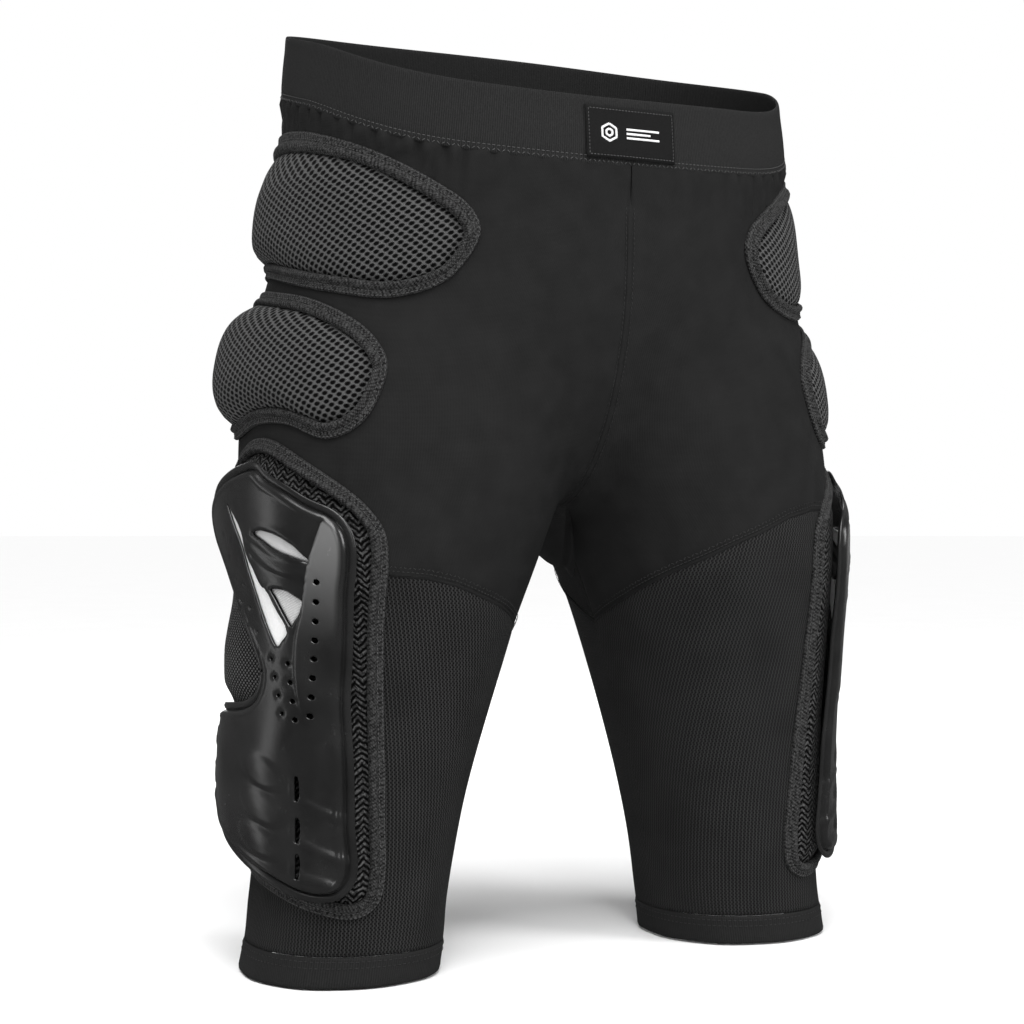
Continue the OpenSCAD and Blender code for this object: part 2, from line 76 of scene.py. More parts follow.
TAPE_W = 8.5
FABRIC_T = 1.1
MM = 0.001
SIDES = {"right": -1, "left": 1}


def knot_slopes():
    gaps = np.diff(SECTIONS, axis=0) / np.diff(SECTIONS[:, :1], axis=0)
    middle = (gaps[:-1] + gaps[1:]) / 2
    return np.vstack([gaps[:1], middle, gaps[-1:]])


SLOPES = knot_slopes()


def section_at(z):
    z = np.asarray(z, float)
    i = np.clip(np.searchsorted(-SECTIONS[:, 0], -z, side="right") - 1, 0, len(SECTIONS) - 2)
    a, b = SECTIONS[i], SECTIONS[i + 1]
    h = (b[..., 0] - a[..., 0])[..., None]
    t = (z - a[..., 0])[..., None] / h
    ends = (2 * t**3 - 3 * t**2 + 1) * a + (3 * t**2 - 2 * t**3) * b
    return ends + (t**3 - 2 * t**2 + t) * h * SLOPES[i] + (t**3 - t**2) * h * SLOPES[i + 1]


def mean_radius(s):
    return (s[..., 2] - s[..., 1] + (s[..., 5] + s[..., 6]) / 2) / 2


def lobe(x, y, s):
    rx = s[..., 2] - s[..., 1]
    ry = np.where(y < s[..., 4], s[..., 5], s[..., 6])
    p = np.abs((x - s[..., 1]) / rx) ** SQUARENESS + np.abs((y - s[..., 4]) / ry) ** SQUARENESS
    return (p ** (1 / SQUARENESS) - 1) * mean_radius(s)


def outside(x, y, s):
    """About how far outside the surface a point lies, in section s; negative inside."""
    a, b = lobe(x, y, s), lobe(-x, y, s)
    h = np.maximum(s[..., 7] - np.abs(a - b), 0) / s[..., 7]
    return np.minimum(a, b) - h * h * s[..., 7] / 4


def bisect(inside, low, high):
    for _ in range(20):
        mid = (low + high) / 2
        hit = inside(mid)
        low, high = np.where(hit, mid, low), np.where(hit, high, mid)
    return (low + high) / 2


def reach(angle, s):
    c, n = np.cos(np.radians(angle)), np.sin(np.radians(angle))
    limit = (SEAM_GAP - s[..., 3]) / np.where(c < -0.01, c, -1)
    high = np.where(c < -0.01, np.minimum(260, limit), 260)
    x, y = s[..., 3], s[..., 4]
    return bisect(lambda r: outside(x + r * c, y - r * n, s) < 0, np.zeros_like(high), high)


def depth(x, s, facing):
    zero = np.zeros(np.broadcast(x, s[..., 0]).shape)
    found = bisect(lambda d: outside(x, s[..., 4] + facing * d, s) < 0, zero, zero + 160)
    return s[..., 4] + facing * found


def growth(x, y, z):
    """How far outside the surface points lie, and how fast that grows along x, y and z."""
    s, e = section_at(z), 0.5
    here = outside(x, y, s)
    return here, np.stack([(outside(x + e, y, s) - here) / e, (outside(x, y + e, s) - here) / e,
                           here - outside(x, y, section_at(z - 1))], -1)


def unit(vectors):
    return vectors / np.linalg.norm(vectors, axis=-1, keepdims=True)


def outward(x, y, z):
    return unit(growth(x, y, z)[1])


def rise(y):
    dip = np.clip((-np.asarray(y, float) - DIP_START) / DIP_REACH, 0, 1)
    return BACK_RISE * (y + 105) / 210 - FRONT_DIP * dip * dip * (3 - 2 * dip)


def waisted(p):
    out = p.copy()
    out[..., 2] += rise(p[..., 1]) * np.clip(p[..., 2] / RISE_DEPTH + 1, 0, 1)
    return out


def unwaisted(p):
    out = p.copy()
    out[..., 2] = np.where(p[..., 2] > -RISE_DEPTH,
                           (p[..., 2] - rise(p[..., 1])) / (1 + rise(p[..., 1]) / RISE_DEPTH),
                           p[..., 2])
    return out


def below_waist(down, y):
    return -down / (1 + rise(y) / RISE_DEPTH)


def stand_off(x, y, z, off):
    p = np.stack(np.broadcast_arrays(x, y, z), -1).astype(float)
    return waisted(p + np.asarray(off, float)[..., None] * outward(x, y, z))


def skin(angle, z, off, side=1):
    """Points on the garment at an angle round the thigh (0 outwards, 90 front) and height."""
    angle, z = np.broadcast_arrays(np.asarray(angle, float), np.asarray(z, float))
    s = section_at(z)
    r, a = reach(angle, s), np.radians(angle)
    x, y = s[..., 3] + r * np.cos(a), s[..., 4] - r * np.sin(a)
    return stand_off(x, y, z, np.broadcast_to(off, x.shape)) * np.array([side, 1, 1])


def turn_radius(z):
    s = section_at(z)
    return (s[..., 2] - s[..., 3] + (s[..., 5] + s[..., 6]) / 2) / 2


def turn(u, z):
    return np.degrees(u / turn_radius(z))


def on_side(uz, off, side=1):
    """Points from a distance u along the surface, forwards from the wearer's side."""
    uz = np.asarray(uz, float)
    return skin(turn(uz[..., 0], uz[..., 1]), uz[..., 1], off, side)


def on_face(xz, off, facing):
    """Points on the front (-1) or back (1) from x and height, across both halves."""
    xz = np.asarray(xz, float)
    x, z = np.abs(xz[..., 0]), xz[..., 1]
    y = depth(x, section_at(z), facing)
    p = stand_off(x, y, z, np.broadcast_to(off, x.shape))
    p[..., 0] *= np.where(xz[..., 0] < 0, -1, 1)
    return p


def on_back(xz, off):
    return on_face(xz, off, 1)


def seam_angle(z, facing):
    s = section_at(z)
    y = depth(SEAM_GAP, s, facing)
    found = np.degrees(np.arctan2(np.abs(y - s[..., 4]), SEAM_GAP - s[..., 3]))
    return -facing * np.minimum(found, 179.7)


def smooth01(x, low=0.0, high=1.0):
    t = np.clip((np.asarray(x, float) - low) / (high - low), 0, 1)
    return t * t * (3 - 2 * t)


def bump01(x, middle, half):
    return np.exp(-(((np.asarray(x, float) - middle) / half) ** 2))


# ---- outlines ----

HIP_OUTLINE = [[148, -100], [138, -82], [112, -66], [72, -48], [30, -40], [-20, -38], [-66, -43],
               [-98, -60], [-108, -82], [-98, -102], [-72, -112], [-35, -113], [10, -120],
               [60, -129], [104, -134], [136, -124]]
SIDE_OUTLINE = [[111, -178], [104, -161], [84, -146], [50, -133], [10, -126], [-36, -122],
                [-76, -129], [-98, -148], [-102, -174], [-91, -196], [-64, -210], [-30, -211],
                [8, -205], [44, -206], [76, -215], [100, -204]]
THIGH_OUTLINE = [[106, -276], [100, -256], [84, -241], [58, -226], [32, -215], [6, -213],
                 [-22, -221], [-50, -236], [-68, -258], [-72, -295], [-72, -345], [-70, -395],
                 [-64, -432], [-48, -458], [-20, -470], [20, -478], [50, -486], [74, -490],
                 [88, -481], [91, -460], [90, -430], [92, -376], [97, -325]]
TAIL_OUTLINE = [[0, -60], [-26, -64], [-42, -84], [-44, -112], [-34, -142], [-16, -166],
                [0, -172], [16, -166], [34, -142], [44, -112], [42, -84], [26, -64]]
# The hard shell's front edge from its peak down, then its rear edge from the bottom up
SHELL_FRONT = [[30, -229], [42, -236], [55, -242], [69, -250], [82, -256], [89, -264], [91, -275],
               [89, -290], [86, -303], [81, -335], [77, -362], [76, -378], [75, -405], [74, -434],
               [75, -458], [72, -470], [64, -477]]
SHELL_REAR = [[50, -477], [28, -469], [8, -462], [-12, -454], [-28, -445], [-38, -434],
              [-44, -420], [-46, -405], [-46, -388], [-44, -378], [-37, -372], [-20, -370],
              [2, -368], [15, -363], [21, -355], [22, -346], [16, -335], [6, -321], [-8, -303],
              [-24, -285], [-36, -272], [-41, -260], [-37, -249], [-24, -240], [-6, -234],
              [14, -230]]
BLADE = [[-3, -250], [7, -257], [15, -266], [17, -277], [24, -288], [31, -298], [35, -300],
         [43, -312], [49, -323], [45, -329], [39, -333], [31, -318], [24, -302], [17, -287],
         [11, -272]]
LENS = [[26, -268], [32, -265.5], [38, -266], [47, -268.5], [54, -272], [60, -276], [68, -285],
        [62, -284], [54, -281.5], [44, -278], [34, -272.5]]
WEDGE = [[38, -300], [44, -299], [49, -299.5], [53, -301], [60, -306], [58, -311], [54, -317],
         [51, -321], [47, -315], [42, -306.5]]
VENT_ROWS = [
    [[70, -295], [58, -371], 8, 2.1],
    [[47, -342], [49, -374], 4, 1.9],
    [[35, -340], [41, -371], 4, 1.6],
    [[24, -337], [24, -348], 2, 1.0],
    [[-11, -268], [14, -322], 5, 1.0],
    [[1, -271], [24, -325], 5, 1.0]]
SLOTS = [[48, -414], [48, -438], [48, -459]]
SLOT_HALF = 7.5


def spline(a, b, c, d, steps):
    """A smooth curve from each b to its c; a and d are the points before and after."""
    a, b, c, d = (q[:, None, :] for q in (a, b, c, d))
    t = (np.arange(steps) / steps)[None, :, None]
    curve = b + t * (c - a) / 2 + t**2 * (a - 2.5 * b + 2 * c - d / 2)
    return (curve + t**3 * (1.5 * (b - c) + (d - a) / 2)).reshape(-1, 2)


def smooth_outline(points, steps=8):
    """A closed smooth curve through the points."""
    p = np.asarray(points, float)
    return spline(np.roll(p, 1, 0), p, np.roll(p, -1, 0), np.roll(p, -2, 0), steps)


def smooth_line(points, steps=8):
    """An open smooth curve through the points."""
    p = np.asarray(points, float)
    p = np.vstack([2 * p[:1] - p[1:2], p, 2 * p[-1:] - p[-2:-1]])
    return np.vstack([spline(p[:-3], p[1:-2], p[2:-1], p[3:], steps), p[-2:-1]])


def close_ring(points):
    return np.vstack([points, points[:1]])


def run_along(points):
    """The distance along a line of points, at each of them."""
    return np.concatenate([[0], np.cumsum(np.linalg.norm(np.diff(points, axis=0), axis=1))])


def resample(points, length, at):
    return np.stack([np.interp(at, length, column) for column in points.T], -1)


def even_loop(points, count):
    """The closed curve through the points, cut into equal lengths."""
    ring = close_ring(points)
    length = run_along(ring)
    return resample(ring, length, np.linspace(0, length[-1], count, endpoint=False))


def even_line(points, pitch):
    """The open curve through the points, cut into equal lengths of about the pitch."""
    points = np.asarray(points, float)
    length = run_along(points)
    return resample(points, length, np.linspace(0, length[-1], max(2, int(length[-1] / pitch) + 1)))


def inset(loop, w):
    """A loop moved inwards by w."""
    t = unit(np.roll(loop, -1, 0) - np.roll(loop, 1, 0))
    return loop + w * np.stack([-t[:, 1], t[:, 0]], -1)


def segment_distance(p, a, b):
    d = b - a
    t = np.clip(((p[:, None] - a) * d).sum(-1) / np.maximum((d * d).sum(-1), 1e-9), 0, 1)
    return np.linalg.norm(p[:, None] - (a + t[..., None] * d), axis=-1)


def line_distance(p, line, closed=False):
    """How far each point is from a polyline."""
    a = np.asarray(line, float)
    b = np.roll(a, -1, 0)
    if not closed:
        a, b = a[:-1], b[:-1]
    out = np.empty(len(p))
    for i in range(0, len(p), 4000):
        out[i:i + 4000] = segment_distance(p[i:i + 4000], a, b).min(1)
    return out


def within(p, loop):
    """True where a point lies inside a closed loop."""
    a, b = loop, np.roll(loop, -1, 0)
    x, y = p[:, 0][:, None], p[:, 1][:, None]
    crosses = (a[:, 1] > y) != (b[:, 1] > y)
    climb = np.where(b[:, 1] == a[:, 1], 1e-9, b[:, 1] - a[:, 1])
    at = a[:, 0] + (y - a[:, 1]) * (b[:, 0] - a[:, 0]) / climb
    return (crosses & (x < at)).sum(1) % 2 == 1


# ---- meshes ----

def make(name, points, faces, material, uv=None, smooth=True):
    """A mesh object from points in millimetres; uv has one row per corner."""
    mesh = bpy.data.meshes.new(name)
    mesh.from_pydata((np.asarray(points) * MM).tolist(), [], [list(map(int, f)) for f in faces])
    if uv is not None:
        layer = mesh.uv_layers.new(name="Weave")
        layer.data.foreach_set("uv", np.asarray(uv, np.float32).ravel())
    mesh.polygons.foreach_set("use_smooth", np.full(len(mesh.polygons), smooth))
    mesh.materials.append(material)
    mesh.validate()
    mesh.update()
    obj = bpy.data.objects.new(name, mesh)
    bpy.context.scene.collection.objects.link(obj)
    return obj


def grid(name, points, uv, material, wrap_cols=False, wrap_rows=False, flip=False):
    """A quad surface from rows of points. uv has one more row or column where it wraps."""
    rows, cols = points.shape[:2]
    i = np.arange(rows if wrap_rows else rows - 1)
    j = np.arange(cols if wrap_cols else cols - 1)
    i, j = (q.ravel() for q in np.meshgrid(i, j, indexing="ij"))
    ni, nj = (i + 1) % rows, (j + 1) % cols
    faces = np.stack([i * cols + j, i * cols + nj, ni * cols + nj, ni * cols + j], -1)
    corners = np.stack([uv[i, j], uv[i, j + 1], uv[i + 1, j + 1], uv[i + 1, j]], 1)
    if flip:
        faces, corners = faces[:, ::-1], corners[:, ::-1]
    return make(name, points.reshape(-1, 3), faces, material, corners.reshape(-1, 2))


def settle(obj):
    """Gives obj the mesh that its modifiers make, and takes them off."""
    bpy.context.view_layer.update()
    mesh = bpy.data.meshes.new_from_object(obj.evaluated_get(bpy.context.evaluated_depsgraph_get()))
    old = obj.data
    obj.modifiers.clear()
    obj.data = mesh
    bpy.data.meshes.remove(old)


def thicken(obj, mm):
    m = obj.modifiers.new("thick", "SOLIDIFY")
    m.thickness = mm * MM
    m.offset = -1
    m.use_rim = True
    settle(obj)


def subdivide(obj):
    m = obj.modifiers.new("sub", "SUBSURF")
    m.levels = 1
    m.render_levels = 1
    settle(obj)


def co_of(obj):
    co = np.empty(len(obj.data.vertices) * 3)
    obj.data.vertices.foreach_get("co", co)
    return co.reshape(-1, 3) / MM


def set_co(obj, co):
    obj.data.vertices.foreach_set("co", (np.asarray(co) * MM).ravel())
    obj.data.update()


def mirrored(obj, name):
    """A copy of a left piece for the right side."""
    mesh = obj.data.copy()
    other = bpy.data.objects.new(name, mesh)
    bpy.context.scene.collection.objects.link(other)
    set_co(other, co_of(obj) * np.array([-1, 1, 1]))
    mesh.flip_normals()
    return other


def sew(name, path, normal, material, length=2.2, pitch=3.0, width=0.35, lift=0.15, lean=0.0):
    """A row of stitches along a path of points in millimetres, with its outward normals."""
    path, normal = np.asarray(path, float), np.asarray(normal, float)
    run = run_along(path)
    count = max(1, int(run[-1] / pitch))
    at = (np.arange(count) + 0.5) * run[-1] / count
    mid, n = resample(path, run, at), unit(resample(normal, run, at))
    t = resample(path, run, np.minimum(at + 0.4, run[-1]))
    t -= resample(path, run, np.maximum(at - 0.4, 0))
    t -= (t * n).sum(1, keepdims=True) * n
    t /= np.maximum(np.linalg.norm(t, axis=1, keepdims=True), 1e-9)
    b = np.cross(n, t)
    turn_by = np.broadcast_to(np.radians(lean), at.shape) * np.where(np.arange(count) % 2, -1, 1)
    t, b = (t * np.cos(turn_by)[:, None] + b * np.sin(turn_by)[:, None],
            b * np.cos(turn_by)[:, None] - t * np.sin(turn_by)[:, None])
    half, w = length / 2, width
    local = [(-half, 0, -0.25)]
    for along, size in ((-0.55, 0.85), (0, 1), (0.55, 0.85)):
        for side, up in ((1, 0), (0, 1), (-1, 0), (0, -0.6)):
            local.append((along * half, side * w * size, up * w * size))
    local.append((half, 0, -0.25))
    local = np.array(local)
    points = (mid[:, None] + local[:, 0, None] * t[:, None] + local[:, 1, None] * b[:, None]
              + (local[:, 2, None] + lift) * n[:, None])
    faces = []
    for k in range(4):
        m = (k + 1) % 4
        faces += [(0, 1 + m, 1 + k), (1 + k, 1 + m, 5 + m, 5 + k), (5 + k, 5 + m, 9 + m, 9 + k),
                  (9 + k, 9 + m, 13)]
    everything = [tuple(v + 14 * s for v in f) for s in range(count) for f in faces]
    return make(name, points.reshape(-1, 3), everything, material)


def normals_along(place, uz):
    return unit(place(uz, 4.0) - place(uz, 0.0))


# ---- materials ----

class Value:
    """A number that varies over a surface: a node's output, with sums and products."""

    def __init__(self, shade, socket):
        self.shade = shade
        self.socket = socket

    def __add__(self, other):
        return self.shade.math("ADD", self, other)

    def __mul__(self, other):
        return self.shade.math("MULTIPLY", self, other)

    def __neg__(self):
        return self * -1

    def __sub__(self, other):
        return self + -other

    def __rsub__(self, other):
        return -self + other


class Shade:
    """A material with one Principled shader, and short calls to add nodes to it."""

    def __init__(self, name, sheen=None, **inputs):
        self.material = bpy.data.materials.new(name)
        self.material.use_nodes = True
        self.tree = self.material.node_tree
        self.tree.nodes.clear()
        self.shader = self.node("BsdfPrincipled")
        self.link(self.shader.outputs[0], self.node("OutputMaterial").inputs[0])
        self.shader.inputs["Specular IOR Level"].default_value = 0.07
        if sheen:
            inputs["Sheen_Weight"], inputs["Sheen_Roughness"] = sheen
        for key, value in inputs.items():
            self.shader.inputs[key.replace("_", " ")].default_value = value

    def node(self, kind, **settings):
        n = self.tree.nodes.new("ShaderNode" + kind)
        for key, value in settings.items():
            setattr(n, key, value)
        return n

    def link(self, output, socket):
        self.tree.links.new(output, socket)

    def put(self, socket, value):
        if isinstance(value, Value):
            self.link(value.socket, socket)
        else:
            socket.default_value = value

    def math(self, operation, a, b=0.0, c=0.0):
        n = self.node("Math", operation=operation)
        for socket, value in zip(n.inputs, (a, b, c)):
            self.put(socket, value)
        return Value(self, n.outputs[0])

    def wave(self, x, pitch):
        """0 to 1 and back once per pitch."""
        s = self.math("SINE", self.math("MULTIPLY_ADD", x, 2 * math.pi / pitch))
        return self.math("MULTIPLY_ADD", s, 0.5, 0.5)

    def step(self, x, low, high):
        n = self.node("MapRange", interpolation_type="SMOOTHSTEP")
        self.put(n.inputs["Value"], x)
        n.inputs["From Min"].default_value = low
        n.inputs["From Max"].default_value = high
        return Value(self, n.outputs[0])

    def weave(self):
        """Millimetres along and down the cloth."""
        n = self.node("SeparateXYZ")
        self.link(self.node("UVMap", uv_map="Weave").outputs[0], n.inputs[0])
        return Value(self, n.outputs[0]), Value(self, n.outputs[1])

    def noise(self, size_mm, detail):
        n = self.node("TexNoise")
        self.link(self.node("TexCoord").outputs["Object"], n.inputs["Vector"])
        n.inputs["Scale"].default_value = 1000 / size_mm
        n.inputs["Detail"].default_value = detail
        return Value(self, n.outputs[0])

    def holes(self, u, v, pitch_u, pitch_v, ru, rv):
        """Distance in hole sizes from the nearest of a staggered grid of oval holes."""
        near = []
        for shift in (0.0, 0.5):
            across = self.math("FRACT", self.math("MULTIPLY_ADD", u, 1 / pitch_u, shift))
            down = self.math("FRACT", self.math("MULTIPLY_ADD", v, 1 / pitch_v, shift))
            x, y = (across - 0.5) * (pitch_u / ru), (down - 0.5) * (pitch_v / rv)
            near.append(self.math("SQRT", x * x + y * y))
        return self.math("MINIMUM", *near)

    def colour(self, tone, dark, light):
        n = self.node("Mix", data_type="RGBA")
        self.put(n.inputs["Factor"], tone)
        ends = {"A": (dark, dark, dark, 1), "B": (light, light, light, 1)}
        for socket in n.inputs:
            if socket.type == "RGBA":
                socket.default_value = ends[socket.name]
        out = [s for s in n.outputs if s.type == "RGBA"][0]
        self.link(out, self.shader.inputs["Base Color"])

    def finish(self, tone, greys, wear, roughness, height, depth_mm):
        """Grey follows the tone, roughness follows the wear, and bumps follow the height."""
        self.colour(tone, *greys)
        low, high = roughness
        self.put(self.shader.inputs["Roughness"], self.math("MULTIPLY_ADD", wear, high - low, low))
        n = self.node("Bump")
        n.inputs["Distance"].default_value = depth_mm * MM
        n.inputs["Strength"].default_value = 1.0
        self.put(n.inputs["Height"], height)
        self.link(n.outputs[0], self.shader.inputs["Normal"])
        return self.material


def knit_fabric():
    """Smooth four-way stretch knit: fine wales, matte with a little sheen."""
    s = Shade("stretch_knit", (0.012, 0.45))
    u, v = s.weave()
    knit = (s.wave(u, 0.9) + s.wave(v, 0.7)) * 0.5
    mottle = s.noise(14, 3)
    return s.finish(mottle * 0.7 + knit * 0.3, (0.006, 0.016), mottle, (0.62, 0.8),
                    knit + s.noise(2.5, 2) * 0.8, 0.12)


def leg_knit():
    """Ribbed, perforated knit of the lower leg: upright ribs with rows of small dashes."""
    s = Shade("leg_mesh_knit", (0.012, 0.5))
    u, v = s.weave()
    rib = s.wave(u, 2.2)
    thread = s.step(s.holes(u, v, 2.2, 2.4, 0.42, 0.62), 0.75, 1.15)
    tone = thread * (rib * 0.65 + 0.35) * (s.noise(30, 2) * 0.8 + 0.6)
    return s.finish(tone, (0.0022, 0.027), rib, (0.85, 0.68), rib * 0.6 + thread * 0.7, 0.45)


def spacer_knit():
    """Thick knitted spacer mesh: staggered oval holes between rounded threads."""
    s = Shade("spacer_mesh_knit", (0.04, 0.4))
    u, v = s.weave()
    across, down = u * 0.97 + v * 0.2, v * 0.97 + u * -0.2
    wobble = (s.noise(9, 1) - 0.5) * 1.4
    thread = s.step(s.holes(across + wobble, down, 5.5, 4.9, 1.6, 1.15), 0.7, 1.35)
    yarn = s.wave(across + down, 0.75) * s.wave(across - down, 0.9)
    return s.finish(thread * (yarn * 0.45 + 0.55), (0.0008, 0.115), thread, (0.95, 0.58),
                    thread + yarn * 0.14, 1.3)


def border_knit():
    """The coarser border mesh round the hard shell: a woven zigzag, and finer in the window."""
    s = Shade("border_mesh_knit", (0.05, 0.4))
    u, v = s.weave()
    zig = s.math("PINGPONG", u + 0.8, 4.4) * 0.95
    slack = (s.noise(5, 2) - 0.5) * 3.6
    chevron = s.step(s.wave(v + zig + slack, 3.6), 0.15, 0.95)
    fleck = s.step(s.noise(1.7, 1), 0.35, 0.65)
    dots = s.step(s.holes(u, v, 3.4, 3.0, 0.8, 0.65), 0.6, 1.5)
    window = s.step(u, 40, 36) * s.step(s.math("ABSOLUTE", v + 330), 57, 51)
    thread = chevron * (fleck * 0.75 + 0.25) * (1 - window) + (1 - dots) * 0.9 * window
    return s.finish(thread, (0.0008, 0.085), thread, (0.95, 0.6), thread + fleck * 0.3, 0.9)


def elastic_web():
    """Wide woven elastic: tight upright ribs and a fine twill."""
    s = Shade("elastic_webbing", (0.012, 0.5))
    u, v = s.weave()
    rib, twill, speck = s.wave(u, 1.3), s.wave(u + v, 0.8), s.noise(1.1, 1)
    return s.finish(rib * 0.35 + (speck * 0.5 + twill * 0.15), (0.006, 0.024), speck,
                    (0.85, 0.66), rib * 0.7 + (twill * 0.35 + speck * 0.5), 0.28)


def hem_knit():
    """Fine upright ribs."""
    s = Shade("hem_knit", (0.012, 0.5))
    u, _ = s.weave()
    rib, speck = s.wave(u, 1.5), s.noise(2.0, 2)
    return s.finish((rib + speck) * 0.5, (0.007, 0.021), speck, (0.65, 0.85), rib * 0.6 + speck, 0.2)


def binding_tape():
    """Knitted edge binding with cross ribs."""
    s = Shade("binding_tape", (0.03, 0.4))
    u, v = s.weave()
    rib, fleck = s.wave(u + v * 0.6, 2.3), s.wave(u + v * -1.1, 1.9)
    speck = s.step(s.noise(1.7, 2), 0.3, 0.75)
    return s.finish(rib * fleck * 0.45 + speck * 0.55, (0.004, 0.062), speck, (0.85, 0.6),
                    rib + (fleck * 0.4 + speck * 0.4), 0.35)


def thread_yarn(name, dark, light):
    s = Shade(name, (0.05, 0.35))
    ply = s.noise(0.8, 1)
    return s.finish(ply, (dark, light), ply, (0.45, 0.65), ply, 0.08)


def moulded_shell():
    """Semi-gloss moulded plastic with a fine grain, faint handling marks, and a painted reflection
    that makes the top of the arm paler.
    """
    s = Shade("moulded_shell", Specular_IOR_Level=0.42, Coat_Weight=0.1, Coat_Roughness=0.2)
    cloud, scuff = s.noise(26, 3), s.step(s.noise(5, 4), 0.6, 0.85)
    # Painted reflection: this stored per-point value lightens the base colour at the top of the arm
    tone = Value(s, s.node("Attribute", attribute_name="PaintedArmReflection").outputs["Fac"])
    return s.finish(cloud * 0.12 + scuff * 0.05 + tone * 0.8, (0.0022, 0.15),
                    cloud * 0.6 + scuff * 0.4, (0.2, 0.34), s.noise(0.55, 2), 0.035)


def silver_knit():
    """Bright reflective knit behind the windows."""
    s = Shade("silver_knit", (0.3, 0.3), Metallic=0.25)
    u, v = s.weave()
    rib, cell = s.wave(u + v * 0.6, 1.1), s.wave(v + u * -0.5, 1.4)
    speck = s.noise(1.0, 2)
    return s.finish(rib * cell * 0.5 + speck * 0.5, (0.3, 0.9), speck, (0.35, 0.6),
                    rib * cell + speck, 0.12)


def silver_foil():
    """The smooth bright blade of the insert."""
    s = Shade("silver_foil", Metallic=0.35, Coat_Weight=0.2, Coat_Roughness=0.2)
    speck = s.noise(1.4, 2)
    return s.finish(speck, (0.8, 0.93), speck, (0.25, 0.4), speck, 0.03)


def woven_label():
    """Tight plain weave."""
    s = Shade("woven_label", (0.012, 0.4))
    u, v = s.weave()
    warp, speck = s.wave(u, 0.5) * s.wave(v, 0.5), s.noise(1.5, 2)
    return s.finish(warp * 0.5 + speck * 0.4, (0.004, 0.014), speck, (0.5, 0.75), warp + speck, 0.12)


def floor_paint():
    s = Shade("pale_floor", Roughness=0.7)
    s.colour(s.noise(120, 2), 0.92, 0.95)
    return s.material


KNIT = knit_fabric()
LEG = leg_knit()
SPACER = spacer_knit()
BORDER = border_knit()
ELASTIC = elastic_web()
HEM = hem_knit()
BINDING = binding_tape()
THREAD = thread_yarn("black_thread", 0.014, 0.035)
PALE_THREAD = thread_yarn("grey_thread", 0.045, 0.09)
MARK_THREAD = thread_yarn("label_thread", 0.55, 0.8)
SHELL = moulded_shell()
SILVER = silver_knit()
FOIL = silver_foil()
LABEL = woven_label()


# ---- how pieces ride ----


def bends(obj):
    """Bakes the piece's placement into its mesh, without attaching it to a body."""
    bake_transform(obj)


def rides(obj, body):
    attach(obj, body)


# ---- fabric ----

# Height of the seam between stretch fabric and leg mesh, round the thigh from side to inseam
DIVIDE_ANGLES = [0, 66, 80, 91, 103, 115, 130, 152, 180]
DIVIDE_LEFT = [-252, -254, -259, -267, -275, -284, -294, -309, -325]
DIVIDE_RIGHT = [-292, -292, -294, -298, -305, -311, -319, -329, -338]


def divide(angle, word):
    heights = DIVIDE_LEFT if word == "left" else DIVIDE_RIGHT
    return np.interp(np.abs(angle), DIVIDE_ANGLES, heights)


def clean(obj):
    """Joins points that fall on each other, and drops faces with no area."""
    form = bmesh.new()
    form.from_mesh(obj.data)
    bmesh.ops.remove_doubles(form, verts=form.verts, dist=0.02 * MM)
    bmesh.ops.dissolve_degenerate(form, edges=form.edges, dist=0.01 * MM)
    form.to_mesh(obj.data)
    form.free()
    return obj


def gathers(angle, down):
    """Small pleats where the fabric is gathered into the waistband."""
    spread = 0.2 + 1.5 * bump01(angle, 22, 42) + 1.0 * bump01(angle, 68, 18)
    pleat = np.sin(np.radians(angle) * 47 + 1.3 * np.sin(angle / 17) + down / 9)
    pleat += 0.6 * np.sin(np.radians(angle) * 71 + 0.8 - down / 12)
    return 1.25 * spread * pleat * np.exp(-np.maximum(down, 0) / 17) * smooth01(down, -6, 5)


def drape(angle, z, word):
    """Shallow folds between the pads, towards the crotch and behind the knee."""
    a = np.radians(angle)
    shift = 0.0 if word == "left" else 0.9
    to_crotch = bump01(z, -235, 30) * smooth01(np.abs(angle), 70, 110)
    to_crotch = to_crotch * (1 - smooth01(np.abs(angle), 120, 150))
    folds = 0.45 * np.sin(z / 11 + 2.2 * a + shift) * to_crotch
    seat = bump01(z, -215, 40) * smooth01(-angle, 20, 90)
    folds += 1.0 * np.sin(z / 9 + 3 * a + shift) * seat
    soft = 0.7 * np.sin(z / 26 + 2 * a + shift) * np.sin(3 * a + z / 60)
    return folds + soft * smooth01(np.abs(z + 45), 0, 60)


